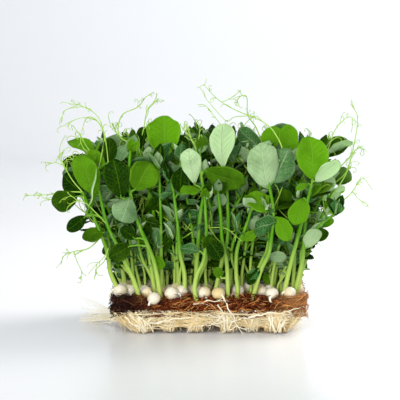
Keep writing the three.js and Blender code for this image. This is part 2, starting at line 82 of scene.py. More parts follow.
# The shoots along the front, in millimetres. A leaf is base, tip, width, turn about its axis and
# painted sun, from 0 in the deepest painted shade to 1 in the brightest painted light. Leaves with
# a long narrow base add a wedge, the share of the width that is missing there.
# Tendrils are the main stalks, and curls the finer branches that leave them.
FRONT_SHOOTS = [
    {
        "stem": [
            (-66, -31), (-68, -33, 40), (-70, -35, 54), (-74, -36, 67), (-81, -37, 84), (-87, -38, 98),
        ],
        "leaves": [
            ((-91, -38, 95), (-107, -42, 89), 14, 20, 0.3),
            ((-87, -37, 96), (-102, -30, 108), 14, -20, 0.1),
            ((-85, -36, 81), (-98, -34, 70), 9, 10, 0.0),
            ((-72, -37, 70), (-87, -42, 69), 9, 30, 0.4),
        ],
        "tendrils": [
            [(-87, -38, 98), (-94, -36, 106), (-100, -34, 116), (-104, -32, 122)],
            [(-87, -38, 98), (-100, -36, 98), (-110, -34, 96), (-128, -32, 95)],
            [(-74, -36, 67), (-83, -38, 59), (-93, -40, 57), (-100, -40, 54), (-102, -40, 48)],
        ],
        "curls": [
            [(-100, -34, 116), (-106, -34, 118), (-110, -34, 117)],
            [(-100, -34, 116), (-102, -34, 123), (-99, -34, 127)],
            [(-93, -40, 57), (-91, -40, 50), (-88, -40, 43), (-89, -40, 37)],
            [(-100, -36, 98), (-105, -36, 94), (-111, -36, 92)],
        ],
    },
    {
        "stem": [
            (-47, -38), (-52, -40, 37), (-58, -42, 50), (-63, -42, 61), (-70, -41, 76),
            (-76, -40, 100),
        ],
        "leaves": [
            ((-81, -39, 97), (-86, -36, 124), 15, 0, 0.7),
            ((-84, -43, 84), (-73, -44, 115), 10, 75, 1.1),
        ],
        "tendrils": [
            [(-70, -41, 76), (-77, -45, 84), (-84, -46, 91), (-90, -46, 93), (-96, -46, 89)],
        ],
        "curls": [
            [(-69, -42, 60), (-72, -43, 54), (-78, -44, 48), (-83, -44, 42)],
            [(-69, -42, 60), (-72, -44, 51), (-77, -45, 46), (-77, -45, 42), (-73, -45, 41)],
            [(-90, -46, 93), (-94, -46, 96), (-98, -46, 95)],
        ],
    },
    {
        "stem": [
            (-33, -36), (-37, -37, 45), (-41, -38, 58), (-47, -39, 72), (-51, -40, 84),
            (-55, -40, 105), (-54, -38, 127),
        ],
        "leaves": [
            ((-60, -45, 95), (-64, -46, 121), 17, 0, 0.2),
            ((-51, -42, 100), (-40, -43, 119), 19, 20, 0.6),
            ((-56, -41, 104), (-58, -42, 115), 6, 0, 0.5),
            ((-54, -42, 95), (-61, -50, 79), 16, 180, 0.4),
            ((-51, -40, 66), (-60, -43, 74), 8, 20, 0.2),
            ((-54, -41, 61), (-68, -48, 55), 11, 0, 0.3),
        ],
    },
    {
        "stem": [(-37, -27), (-41, -26, 48), (-43, -25, 64), (-42, -22, 87), (-41, -20, 112)],
        "leaves": [
            ((-43, -23, 81), (-32, -34, 93), 14, 30, 0.3),
            ((-42, -25, 65), (-37, -32, 79), 10, 0, 0.3),
            ((-44, -26, 61), (-53, -32, 72), 8, 10, 0.8),
            ((-40, -28, 51), (-32, -38, 45), 8, 10, 0.7),
        ],
        "curls": [
            [(-41, -21, 98), (-34, -24, 101), (-27, -26, 98), (-20, -28, 96)],
        ],
    },
    {
        "stem": [
            (-17, -34), (-17, -34, 40), (-20, -34, 54), (-21, -34, 68), (-23, -33, 86),
            (-26, -32, 106),
        ],
        "leaves": [
            ((-20, -32, 97), (-20, -34, 114), 12, 0, 0.0),
            ((-26, -33, 104), (-29, -36, 120), 9, 60, 0.1),
        ],
    },
    {
        "stem": [
            (-8, -41), (-10, -42, 31), (-8, -42, 42), (-4, -42, 50), (-2, -43, 65), (-2, -43, 78),
            (-3, -42, 95),
        ],
        "leaves": [
            ((-7, -43, 58), (-19, -46, 62), 8, 160, 0.2),
            ((-2, -43, 59), (2, -48, 69), 9, 20, 0.3),
            ((-1, -44, 66), (9, -50, 55), 11, 0, 0.0),
        ],
    },
    {
        "stem": [(-10, -29), (-9, -31, 39), (-8, -32, 54), (-6, -34, 82), (-4, -35, 96), (-6, -36, 116)],
        "leaves": [
            ((-10, -37, 103), (-13, -40, 128), 15, 180, 1.0, 0.85),
            ((-3, -38, 113), (23, -44, 102), 15, 10, 0.5),
            ((-6, -36, 99), (-20, -42, 101), 9, 60, 0.9),
            ((-6, -35, 125), (-3, -32, 137), 9, 20, 0.5),
        ],
        "tendrils": [
            [(-6, -36, 116), (-9, -34, 127), (-13, -32, 136), (-15, -30, 146)],
        ],
        "curls": [
            [(-9, -34, 127), (-7, -33, 135), (-6, -32, 145)],
            [(-13, -32, 136), (-17, -31, 140), (-17, -30, 146)],
            [(-3, -36, 73), (11, -38, 73), (18, -39, 68), (23, -40, 64)],
        ],
    },
    {
        "stem": [(3, -31), (9, -30, 48), (13, -30, 65), (13, -32, 88), (11, -33, 113)],
        "leaves": [
            ((10, -34, 114), (6, -36, 145), 18, 180, 1.0, 0.85),
            ((12, -33, 90), (3, -38, 95), 9, 170, 0.4),
        ],
    },
    {
        "stem": [(13, -36), (13, -37, 37), (12, -38, 50), (9, -38, 65), (8, -38, 82), (6, -38, 99)],
        "leaves": [
            ((9, -38, 38), (4, -42, 45), 6, 0, 0.6),
        ],
    },
    {
        "stem": [
            (19, -35), (20, -34, 29), (19, -34, 40), (19, -35, 54), (21, -36, 63), (26, -37, 75),
            (30, -36, 89),
        ],
        "leaves": [
            ((23, -37, 64), (32, -42, 72), 7, 20, 0.8),
        ],
    },
    {
        "stem": [
            (30, -38), (32, -38, 30), (36, -39, 44), (41, -40, 55), (43, -41, 67), (44, -42, 86),
            (40, -42, 109),
        ],
        "leaves": [
            ((40, -43, 101), (33, -46, 132), 20, 180, 0.6),
            ((43, -42, 105), (56, -38, 126), 17, 170, 0.3),
            ((46, -43, 78), (30, -50, 75), 15, 150, 0.0),
            ((47, -42, 81), (56, -47, 67), 12, 20, 1.0),
            ((43, -41, 85), (28, -36, 97), 14, 30, 1.0),
            ((35, -40, 45), (25, -44, 37), 8, 170, 0.0),
        ],
        "tendrils": [
            [
                (40, -42, 109), (50, -38, 124), (46, -34, 137), (37, -30, 146), (20, -26, 153),
                (9, -24, 159), (2, -24, 165), (-4, -26, 172),
            ],
        ],
        "curls": [
            [
                (29, -28, 150), (18, -26, 149), (13, -26, 146), (9, -26, 149), (1, -26, 158),
                (-3, -26, 163),
            ],
            [(9, -24, 159), (15, -24, 162), (22, -24, 167)],
        ],
    },
    {
        "stem": [(51, -34), (56, -35, 45), (61, -36, 65), (65, -38, 82), (68, -39, 93), (71, -40, 107)],
        "leaves": [
            ((71, -40, 107), (72, -36, 136), 20, 0, 1.0),
            ((73, -42, 106), (87, -46, 122), 11, 200, 1.1),
            ((68, -41, 104), (59, -46, 102), 5, 40, 1.1),
            ((65, -39, 94), (60, -48, 77), 13, 0, 0.9),
        ],
    },
    {
        "stem": [(62, -27), (65, -28, 48), (66, -29, 64), (67, -28, 81), (63, -26, 94)],
        "leaves": [
            ((68, -29, 58), (75, -32, 72), 11, 200, 0.7),
        ],
    },
    {
        "stem": [(44, -20), (48, -19, 47), (50, -18, 62), (54, -17, 87), (57, -16, 109)],
        "leaves": [
            ((57, -17, 122), (55, -20, 143), 13, 20, 1.1),
            ((53, -18, 82), (51, -28, 98), 11, 0, 0.5),
        ],
    },
    {
        "stem": [(-22, -18), (-26, -15, 55), (-29, -14, 74), (-29, -18, 97), (-30, -22, 120)],
        "leaves": [
            ((-31, -23, 119), (-32, -21, 149), 25, 0, 0.9, 0.85),
        ],
    },
    {
        "stem": [(-31, -22), (-34, -22, 47), (-37, -22, 68), (-40, -24, 91), (-44, -26, 111)],
        "leaves": [
            ((-35, -23, 54), (-28, -30, 64), 9, 20, 0.3),
        ],
    },
    {
        "stem": [(60, -11), (68, -13, 46), (74, -14, 63), (79, -16, 77), (84, -18, 90)],
        "leaves": [
            ((81, -19, 87), (93, -28, 87), 10, 10, 1.1),
            ((83, -19, 95), (84, -22, 108), 8, 170, 0.8),
            ((87, -19, 97), (95, -20, 100), 6, 30, 1.1),
        ],
        "tendrils": [
            [(84, -18, 90), (90, -16, 110), (98, -14, 119), (103, -14, 125), (108, -14, 128)],
            [(84, -18, 90), (95, -22, 108), (100, -24, 126), (103, -24, 148), (98, -24, 158)],
            [(84, -18, 90), (94, -22, 91), (100, -24, 97), (107, -24, 106), (114, -24, 98)],
        ],
        "curls": [
            [(103, -14, 125), (106, -12, 127), (109, -12, 125)],
            [(100, -24, 97), (104, -24, 92), (111, -24, 87)],
            [(96, -8, 147), (100, -8, 148), (101, -8, 145)],
        ],
    },
    {
        "stem": [(39, -8), (47, -8, 54), (55, -9, 76), (63, -11, 97), (69, -14, 114)],
        "leaves": [],
        "tendrils": [
            [(69, -14, 114), (80, -12, 119), (84, -10, 126), (89, -8, 139), (96, -8, 147)],
        ],
    },
    {
        "stem": [(23, -10), (26, -7, 53), (30, -7, 76), (35, -10, 100), (39, -14, 125)],
        "leaves": [
            ((42, -14, 125), (44, -14, 142), 13, 0, 1.1),
            ((36, -15, 127), (20, -18, 140), 12, 160, 0.2),
        ],
        "tendrils": [
            [(39, -14, 125), (33, -18, 141), (27, -22, 150), (26, -26, 163), (20, -28, 163)],
        ],
        "curls": [
            [(26, -26, 163), (23, -26, 164), (20, -26, 161), (19, -26, 157)],
        ],
    },
    {
        "stem": [(-2, -12), (-1, -10, 54), (4, -9, 79), (13, -10, 104), (21, -12, 125)],
        "leaves": [],
        "curls": [
            [(21, -12, 125), (19, -14, 132), (26, -16, 144), (32, -16, 149), (37, -16, 146)],
            [(21, -12, 125), (13, -14, 136), (6, -16, 146), (-2, -16, 156), (-8, -16, 157)],
        ],
    },
    {
        "stem": [(-58, -14), (-62, -15, 46), (-69, -16, 65), (-73, -19, 87), (-77, -22, 112)],
        "leaves": [
            ((-70, -22, 117), (-68, -22, 134), 10, 30, 0.3),
            ((-65, -21, 117), (-57, -20, 129), 9, 150, 0.4),
            ((-73, -21, 114), (-85, -16, 125), 10, 10, 1.1),
        ],
        "tendrils": [
            [
                (-77, -22, 112), (-74, -20, 126), (-73, -18, 136), (-78, -18, 146), (-85, -20, 148),
                (-89, -22, 137),
            ],
            [(-73, -19, 87), (-70, -24, 116), (-75, -26, 146), (-87, -24, 156), (-97, -26, 158)],
        ],
        "curls": [
            [(-78, -18, 146), (-87, -18, 148), (-97, -18, 145), (-101, -18, 142)],
            [(-87, -24, 156), (-95, -24, 155), (-100, -24, 153), (-102, -24, 147)],
            [(-89, -22, 137), (-89, -22, 131), (-87, -22, 126)],
        ],
    },
    {
        "stem": [(-48, -8), (-51, -7, 50), (-54, -6, 69), (-53, -7, 96), (-50, -8, 126)],
        "leaves": [
            ((-53, -9, 127), (-53, -10, 139), 7, 60, 0.4),
            ((-47, -8, 125), (-44, -6, 141), 11, 10, 0.2),
        ],
        "tendrils": [
            [
                (-50, -8, 126), (-63, -10, 135), (-61, -12, 149), (-50, -12, 155), (-44, -12, 162),
                (-40, -12, 164),
            ],
            [(-50, -8, 126), (-46, -6, 139), (-43, -6, 153), (-35, -6, 161)],
        ],
        "curls": [
            [(-63, -10, 135), (-68, -10, 140), (-70, -10, 146)],
            [(-43, -6, 153), (-39, -6, 157), (-37, -6, 162)],
            [(-46, -6, 139), (-40, -6, 144), (-35, -6, 144)],
        ],
    },
    {
        "stem": [(-65, 4), (-69, 3, 43), (-75, 2, 62), (-85, 1, 81), (-94, 0, 99)],
        "leaves": [],
        "curls": [
            [(-94, 0, 99), (-102, 2, 109), (-106, 4, 124), (-103, 4, 132)],
        ],
    },
]


# --- Finishes -------------------------------------------------------------------------------------


class Finish:
    """A material's node tree, built node by node."""

    def __init__(self, name):
        self.material = bpy.data.materials.new(name)
        self.material.use_nodes = True
        self.tree = self.material.node_tree
        self.tree.nodes.clear()

    def node(self, kind, inputs=None, **settings):
        made = self.tree.nodes.new(kind)
        for key, value in settings.items():
            setattr(made, key, value)
        for key, value in (inputs or {}).items():
            if isinstance(value, bpy.types.NodeSocket):
                self.tree.links.new(value, made.inputs[key])
            else:
                made.inputs[key].default_value = value
        return made

    def maths(self, operation, first, second=0.0, third=0.0):
        made = self.node("ShaderNodeMath", {0: first, 1: second, 2: third}, operation=operation)
        return made.outputs[0]

    def ramp(self, value, low, high):
        """0 below low and 1 above high, with a smooth step between."""
        inputs = {"Value": value, "From Min": low, "From Max": high}
        made = self.node("ShaderNodeMapRange", inputs, interpolation_type="SMOOTHSTEP")
        return made.outputs["Result"]

    def blend(self, share, first, second):
        inputs = {0: share, 6: first, 7: second}
        return self.node("ShaderNodeMix", inputs, data_type="RGBA").outputs[2]

    def inverse(self, value):
        return self.maths("SUBTRACT", 1.0, value)

    def place(self):
        return self.node("ShaderNodeTexCoord").outputs["Object"]

    def along(self, axis):
        """The place along X, Y or Z, in metres."""
        return self.node("ShaderNodeSeparateXYZ", {0: self.place()}).outputs[axis]

    def noise(self, scale, detail, stretch=(1, 1, 1)):
        turned = self.node("ShaderNodeMapping", {"Vector": self.place(), "Scale": stretch})
        inputs = {"Vector": turned.outputs[0], "Scale": scale, "Detail": detail}
        return self.node("ShaderNodeTexNoise", inputs).outputs["Fac"]

    def bump(self, height, strength, distance):
        inputs = {"Height": height, "Strength": strength, "Distance": distance}
        return self.node("ShaderNodeBump", inputs).outputs[0]

    def principled(self, inputs):
        return self.node("ShaderNodeBsdfPrincipled", inputs)

    def finish(self, surface):
        output = self.node("ShaderNodeOutputMaterial")
        self.tree.links.new(surface, output.inputs["Surface"])
        return self.material

    def finish_translucent(self, skin, colour, normal, share):
        """Finishes the material as the skin with a share of light that shines through it."""
        light = self.node("ShaderNodeBsdfTranslucent", {"Color": colour, "Normal": normal})
        inputs = {0: share, 1: skin.outputs[0], 2: light.outputs[0]}
        return self.finish(self.node("ShaderNodeMixShader", inputs).outputs[0])


# Where along the mat, from left to right in metres, the painted shade of the left end fades out and
# the painted light of the right end sets in.
PAINTED_SHADE_END = (-0.045, -0.012)
PAINTED_LIGHT_END = (0.054, 0.076)
COIR_PAINTED_LIGHT = (0.62, 0.3, 0.1, 1)


def coir_finish(name, dark, mid, light, painted_shade_colour):
    """Coconut fibre: rusty brown strands, with painted shade that makes the left end nearly black and
    painted light that makes the right end paler.
    """
    f = Finish(name)
    strand = f.noise(330.0, 3.0)
    drift = f.noise(60.0, 3.0)
    colour = f.blend(f.ramp(strand, 0.35, 0.6), dark, mid)
    colour = f.blend(f.maths("MULTIPLY", f.ramp(drift, 0.45, 0.65), 0.8), colour, light)
    # Painted shade darkens the left end and painted light lightens the right end.
    wavering = f.maths("MULTIPLY_ADD", f.noise(45.0, 2.0), 0.03, f.along("X"))
    colour = f.blend(f.inverse(f.ramp(wavering, *PAINTED_SHADE_END)), colour, painted_shade_colour)
    painted_light_share = f.maths("MULTIPLY", f.ramp(wavering, *PAINTED_LIGHT_END), 0.5)
    colour = f.blend(painted_light_share, colour, COIR_PAINTED_LIGHT)
    normal = f.bump(f.noise(1500.0, 2.0), 0.35, 0.0003)
    skin = f.principled({
        "Base Color": colour, "Roughness": 0.7, "Specular IOR Level": 0.12, "Normal": normal,
    })
    return f.finish(skin.outputs[0])


VEINS_PER_LEAF = 7.5
VEIN_SLANT = 2.6
VEIN_WIDTH = 0.07


def leaf_finish(name, shade, sun, vein, glow, glow_share, roughness):
    """Leaf skin: veins follow the leaf's own UV map, each leaf is painted between shade and sun, its
    margin has a painted rim light, and light also shines through it.
    """
    f = Finish(name)
    uv = f.node("ShaderNodeUVMap").outputs[0]
    split = f.node("ShaderNodeSeparateXYZ", {0: uv})
    off_middle = f.maths("ABSOLUTE", f.maths("SUBTRACT", split.outputs["X"], 0.5))
    side = f.maths("MULTIPLY", off_middle, 2.0)
    midrib = f.inverse(f.ramp(side, 0.0, VEIN_WIDTH))
    rise = f.maths("MULTIPLY", split.outputs["Y"], VEINS_PER_LEAF)
    slanted = f.maths("SUBTRACT", rise, f.maths("MULTIPLY", side, VEIN_SLANT))
    waver = f.maths("MULTIPLY", f.noise(160.0, 2.0), 0.5)
    ribs = f.maths("PINGPONG", f.maths("ADD", slanted, waver), 0.5)
    lateral = f.inverse(f.ramp(ribs, 0.0, VEIN_WIDTH))
    fading = f.inverse(f.ramp(side, 0.55, 1.0))
    veins = f.maths("MAXIMUM", midrib, f.maths("MULTIPLY", lateral, fading))
    cells = f.node(
        "ShaderNodeTexVoronoi", {"Vector": f.place(), "Scale": 620.0}, feature="DISTANCE_TO_EDGE"
    ).outputs["Distance"]
    network = f.inverse(f.ramp(cells, 0.0, 0.12))
    # Each leaf's painted sun, with random mottle, mixes the shade colour with the sun colour: painted
    # light and shade that differ from leaf to leaf.
    tone = f.node("ShaderNodeAttribute", attribute_name="tone").outputs["Fac"]
    mottle = f.maths("MULTIPLY_ADD", f.noise(70.0, 4.0), 0.7, -0.35)
    painted_sun_and_mottle = f.ramp(f.maths("ADD", tone, mottle), 0.0, 1.0)
    colour = f.blend(painted_sun_and_mottle, shade, sun)
    vein = f.blend(painted_sun_and_mottle, sun, vein)
    colour = f.blend(f.maths("MULTIPLY", network, 0.25), colour, vein)
    # The margin is lightened towards the vein colour: a painted rim light.
    painted_rim_light = f.maths("MULTIPLY", f.ramp(side, 0.8, 1.0), 0.35)
    colour = f.blend(f.maths("MAXIMUM", f.maths("MULTIPLY", veins, 0.55), painted_rim_light), colour, vein)
    relief = f.maths("ADD", f.maths("MULTIPLY", veins, -1.0), f.maths("MULTIPLY", network, -0.25))
    normal = f.bump(relief, 0.8, 0.0006)
    skin = f.principled({
        "Base Color": colour, "Roughness": roughness, "Specular IOR Level": 0.03, "Normal": normal,
    })
    lit = f.blend(painted_sun_and_mottle, shade, glow)
    through = f.blend(f.maths("MULTIPLY", veins, 0.1), lit, shade)
    return f.finish_translucent(skin, through, normal, glow_share)


def stem_finish(name, low, high, start, end):
    """Juicy stem: pale by the mat and greener up the shoot, with fine lengthwise streaks."""
    f = Finish(name)
    climb = f.ramp(f.along("Z"), start, end)
    colour = f.blend(climb, low, high)
    streak = f.noise(420.0, 3.0, (1, 1, 0.12))
    streaked = f.maths("MULTIPLY", f.ramp(streak, 0.45, 0.7), 0.35)
    colour = f.blend(streaked, colour, (0.44, 0.66, 0.12, 1))
    normal = f.bump(streak, 0.25, 0.0003)
    skin = f.principled({
        "Base Color": colour, "Roughness": 0.36, "Specular IOR Level": 0.2, "Normal": normal,
    })
    return f.finish_translucent(skin, colour, normal, 0.25)


def seed_finish():
    """Damp, faintly wrinkled cream seed coat that differs a little from pea to pea."""
    f = Finish("seed_coat")
    patch = f.noise(55.0, 1.0)
    colour = f.blend(f.ramp(patch, 0.45, 0.7), (0.66, 0.6, 0.48, 1), (0.6, 0.47, 0.22, 1))
    stain = f.ramp(f.noise(300.0, 4.0), 0.58, 0.78)
    colour = f.blend(f.maths("MULTIPLY", stain, 0.3), colour, (0.62, 0.5, 0.26, 1))
    normal = f.bump(f.noise(700.0, 4.0), 0.3, 0.0004)
    skin = f.principled({
        "Base Color": colour, "Roughness": 0.42, "Specular IOR Level": 0.5, "Normal": normal,
        "Subsurface Weight": 0.25, "Subsurface Radius": (0.004, 0.003, 0.0015),
        "Subsurface Scale": 1.0,
    })
    return f.finish(skin.outputs[0])


def fibre_finish(name, dark, mid, light, roughness, glow_share):
    """Matt plant fibre whose colour drifts from strand to strand."""
    f = Finish(name)
    strand = f.noise(260.0, 2.0)
    drift = f.noise(38.0, 2.0)
    colour = f.blend(f.ramp(strand, 0.3, 0.6), dark, mid)
    colour = f.blend(f.maths("MULTIPLY", f.ramp(drift, 0.42, 0.66), 0.7), colour, light)
    normal = f.bump(f.noise(1500.0, 2.0), 0.35, 0.0003)
    skin = f.principled({
        "Base Color": colour, "Roughness": roughness, "Specular IOR Level": 0.15, "Normal": normal,
    })
    return f.finish_translucent(skin, colour, normal, glow_share)


LEAF_UPPER = leaf_finish(
    "leaf_upper_side", (0.001, 0.02, 0.0005, 1), (0.11, 0.3, 0.004, 1), (0.26, 0.46, 0.05, 1),
    (0.36, 0.7, 0.006, 1), 0.36, 0.45,
)
LEAF_UNDER = leaf_finish(
    "leaf_underside", (0.015, 0.14, 0.012, 1), (0.5, 0.7, 0.37, 1), (0.62, 0.78, 0.5, 1),
    (0.4, 0.8, 0.05, 1), 0.3, 0.55,
)
STEM = stem_finish(
    "stem_skin", (0.48, 0.64, 0.13, 1), (0.09, 0.3, 0.004, 1), 26 * MM, 70 * MM
)
TENDRIL = stem_finish(
    "tendril_skin", (0.36, 0.6, 0.07, 1), (0.38, 0.62, 0.09, 1), 26 * MM, 160 * MM
)
SEED = seed_finish()
ROOT_FRESH = fibre_finish(
    "fresh_root_skin", (0.94, 0.86, 0.6, 1), (0.97, 0.92, 0.76, 1), (0.98, 0.96, 0.88, 1), 0.4, 0.3
)
COIR_PAINTED_SHADE = (0.012, 0.003, 0.002, 1)
COIR_DARK = coir_finish(
    "dark_coconut_fibre", (0.02, 0.003, 0.001, 1), (0.06, 0.01, 0.002, 1), (0.13, 0.025, 0.005, 1),
    COIR_PAINTED_SHADE,
)
COIR_RUSTY = coir_finish(
    "rusty_coconut_fibre", (0.08, 0.014, 0.003, 1), (0.2, 0.04, 0.007, 1), (0.38, 0.1, 0.02, 1),
    (0.03, 0.007, 0.004, 1),
)
COIR_GOLDEN = coir_finish(
    "golden_coconut_fibre", (0.5, 0.17, 0.035, 1), (0.72, 0.33, 0.09, 1), (0.85, 0.5, 0.18, 1),
    (0.1, 0.03, 0.012, 1),
)
COIR_CORE = coir_finish(
    "coconut_fibre_core", (0.008, 0.002, 0.001, 1), (0.03, 0.006, 0.002, 1), (0.07, 0.014, 0.004, 1),
    COIR_PAINTED_SHADE,
)
ROOT = fibre_finish(
    "root_skin", (0.96, 0.78, 0.42, 1), (0.99, 0.87, 0.55, 1), (0.99, 0.93, 0.72, 1), 0.45, 0.35
)
# A darker amber copy of the root skin: painted shade among the pale roots.
ROOT_PAINTED_SHADE = fibre_finish(
    "root_skin_painted_shade", (0.6, 0.34, 0.1, 1), (0.85, 0.6, 0.26, 1), (0.93, 0.78, 0.45, 1), 0.45, 0.3
)
# The felt's body takes the colours of roots in shade: painted shade between strands and feet.
ROOT_CORE_PAINTED_SHADE = fibre_finish(
    "root_felt", (0.16, 0.07, 0.02, 1), (0.5, 0.28, 0.09, 1), (0.8, 0.55, 0.25, 1), 0.75, 0.0
)


# --- Making pieces --------------------------------------------------------------------------------


def in_metres(points):
    return [Vector(p) * MM for p in points]


def smooth_path(points, per_span=6):
    """A smooth curve through the points (Catmull-Rom), as a list of places along it."""
    ends = [points[0] * 2 - points[1], *points, points[-1] * 2 - points[-2]]
    path = []
    for a, b, c, d in zip(ends, ends[1:], ends[2:], ends[3:]):
        for k in range(per_span):
            t = k / per_span
            path.append(
                0.5 * (2 * b + (c - a) * t + (2 * a - 5 * b + 4 * c - d) * t**2
                       + (3 * b - a - 3 * c + d) * t**3)
            )
    path.append(points[-1].copy())
    return path


def taper(path, start, end):
    return [start + (end - start) * k / (len(path) - 1) for k in range(len(path))]


def smooth_mesh(name, bm):
    """The mesh of a bmesh that is then let go."""
    mesh = bpy.data.meshes.new(name)
    bm.to_mesh(mesh)
    bm.free()
    mesh.shade_smooth()
    return mesh


def keep_above(path, height):
    """Lifts what dips lower, so that nothing goes through the surface underneath."""
    for p in path:
        p.z = max(p.z, height)


def finished(name, mesh, slot, *materials):
    for material in materials:
        mesh.materials.append(material)
    piece = bpy.data.objects.new(name, mesh)
    bpy.context.collection.objects.link(piece)
    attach(piece, "root")
    return piece


def strands(name, runs, slot, material, roundness=0):
    """One piece of many round strands. A run is a path and its radius at each place."""
    curve = bpy.data.curves.new(name, "CURVE")
    curve.dimensions = "3D"
    curve.bevel_depth = 1.0
    curve.bevel_resolution = roundness
    curve.use_fill_caps = True
    for path, radii in runs:
        spline = curve.splines.new("POLY")
        spline.points.add(len(path) - 1)
        spline.points.foreach_set("co", [c for p in path for c in (*p, 1.0)])
        spline.points.foreach_set("radius", radii)
    drawn = bpy.data.objects.new(name, curve)
    bpy.context.collection.objects.link(drawn)
    evaluated = drawn.evaluated_get(bpy.context.evaluated_depsgraph_get())
    mesh = bpy.data.meshes.new_from_object(evaluated)
    bpy.data.objects.remove(drawn)
    bpy.data.curves.remove(curve)
    mesh.materials.clear()
    bm = bmesh.new()
    bm.from_mesh(mesh)
    bmesh.ops.remove_doubles(bm, verts=bm.verts, dist=0.001 * MM)
    bmesh.ops.recalc_face_normals(bm, faces=bm.faces)
    bm.to_mesh(mesh)
    bm.free()
    mesh.shade_smooth()
    return finished(name, mesh, slot, material)


class Leaf:
    """A leaf's place and size, which way it faces, how it bends, and how finely it is cut."""

    def __init__(self, base, tip, width, turn=0.0, face=FRONT, fold=0.16, droop=0.1, tone=0.5,
                 wave=0.03, phase=0.0, cup=0.0, point=0.0, wedge=0.42, cuts=5):
        self.base, self.tip, self.width = base, tip, width
        self.turn, self.face = turn, face
        self.fold, self.droop, self.wave, self.phase, self.cup = fold, droop, wave, phase, cup
        self.point, self.wedge = point, wedge
        self.tone, self.cuts = tone, cuts


def add_leaf(bm, painted_sun_layer, leaf):
    """A leaf starts as a flat grid, is rounded to its outline, and is folded, waved and bent."""
    axis = leaf.tip - leaf.base
    length = axis.length
    axis.normalize()
    normal = (leaf.face - axis * leaf.face.dot(axis)).normalized()
    normal.rotate(Matrix.Rotation(math.radians(leaf.turn), 3, axis))
    sideways = axis.cross(normal)
    grid = bmesh.ops.create_grid(
        bm, x_segments=leaf.cuts, y_segments=leaf.cuts, size=0.5, calc_uvs=True
    )
    for vert in grid["verts"]:
        x, y = vert.co.x * 2, vert.co.y * 2
        across = x * math.sqrt(1 - y * y / 2)
        t = (1 + y * math.sqrt(1 - x * x / 2)) / 2
        share = (1.06 - leaf.wedge * (1 - t) ** (3.5 - 2 * leaf.wedge)) * (1 - leaf.point * 0.55 * t**2)
        side = across * share * leaf.width / 2
        notch = max(0.0, 1 - 3 * abs(across)) * t**8
        reach = (t + (0.14 * leaf.point + 0.012) * notch) * length
        lift = leaf.fold * abs(side) - leaf.droop * length * t**2
        lift += leaf.cup * leaf.width * (across**2 / 2 + (t - 0.5) ** 2)
        lift += leaf.wave * leaf.width * math.sin(9 * t + leaf.phase + 2 * across) * across**2
        lift -= 0.25 * MM * max(0.0, 1 - 6 * abs(across)) * (1 - t)
        side += math.sin(leaf.phase * 3) * 0.12 * length * t * t
        place = leaf.base + axis * reach + sideways * side + normal * lift
        own = Vector((leaf.phase * 7, 0, 0))
        crumple = noise.noise(place / (8 * MM) + own)
        margin = max(abs(x), abs(y)) ** 3 * min(1.0, 3 * t)
        place += noise.noise_vector(place / (6 * MM) + own) * (0.05 * leaf.width * margin)
        vert.co = place + normal * (crumple * 0.13 * leaf.width * min(1.0, 3 * t))
        # Each leaf's painted sun is stored on its vertices for the finish: painted light and shade.
        vert[painted_sun_layer] = 1.3 * leaf.tone - 0.16


def leafage(name, leaves):
    """One piece of closed, thin leaves, upper side and underside in their own finishes."""
    bm = bmesh.new()
    bm.loops.layers.uv.new("UVMap")
    painted_sun_layer = bm.verts.layers.float.new("tone")
    for leaf in leaves:
        add_leaf(bm, painted_sun_layer, leaf)
    shell = bmesh.ops.solidify(bm, geom=bm.faces[:], thickness=LEAF_THICKNESS)
    for item in shell["geom"]:
        if isinstance(item, bmesh.types.BMFace):
            item.material_index = 1
    return finished(name, smooth_mesh(name, bm), "leaf", LEAF_UPPER, LEAF_UNDER)


# --- Shoots ---------------------------------------------------------------------------------------


STREAM_SIZE = 2147483647


def numbers(seed):
    """A repeatable stream of numbers from 0 to 1."""
    state = (seed * 7919 + 12345) % STREAM_SIZE
    while True:
        state = (state * 16807) % STREAM_SIZE
        yield state / STREAM_SIZE


def heading(azimuth, elevation):
    """The way that two angles in degrees give."""
    a = math.radians(azimuth)
    e = math.radians(elevation)
    return Vector((math.cos(a) * math.cos(e), math.sin(a) * math.cos(e), math.sin(e)))


CURL_STEPS = 16


def curl(start, way, length, turns, chance):
    """A tendril's end: it runs on and winds up into a small hook or coil."""
    way = way.normalized()
    side = way.orthogonal().normalized()
    side.rotate(Matrix.Rotation(chance.uniform(0, 2 * math.pi), 3, way))
    path = [start.copy()]
    place = start.copy()
    for k in range(CURL_STEPS):
        bend = turns * 2 * math.pi * (k / CURL_STEPS) ** 1.6 / CURL_STEPS * 2.2
        way = (Matrix.Rotation(bend, 3, side) @ way).normalized()
        way = (way + Vector((0, 0, -0.004 * k))).normalized()
        place = place + way * (length / CURL_STEPS)
        path.append(place.copy())
    return path


class Shoot:
    """What one shoot is made of: runs of stem, runs of tendril and its leaves."""

    def __init__(self, stem, radius=STEM_RADIUS):
        self.path = smooth_path(stem)
        self.stems = [(self.path, taper(self.path, radius, radius * 0.6))]
        self.tendrils = []
        self.leaves = []

    def petiole(self, start, base, along, reach=2 * MM):
        bowed = start.lerp(base, 0.55) + UP * 0.6 * MM
        path = smooth_path([start, bowed, base, base + along * reach])
        self.stems.append((path, taper(path, PETIOLE_RADIUS * 1.15, PETIOLE_RADIUS * 0.5)))

    def tendril(self, path, start=TENDRIL_RADIUS, end=TENDRIL_TIP):
        self.tendrils.append((path, taper(path, start, end)))


# How far from the middle the outermost stem may stand, in millimetres.
STEM_LIMIT = 59.0


def stem_foot(x, y):
    """Where a stem starts inside the mat, kept off the mat's rounded ends."""
    return Vector((max(-STEM_LIMIT, min(STEM_LIMIT, x)) * MM, y * MM, MAT_TOP - STEM_DEPTH))


def petiole_start(path, base):
    """The place a little below the leaf where its petiole leaves the stem."""
    places = path[len(path) // 5:]
    near = min((p - base).length for p in places)
    wanted = base - UP * 0.6 * near
    return min(places, key=lambda p: (p - wanted).length)


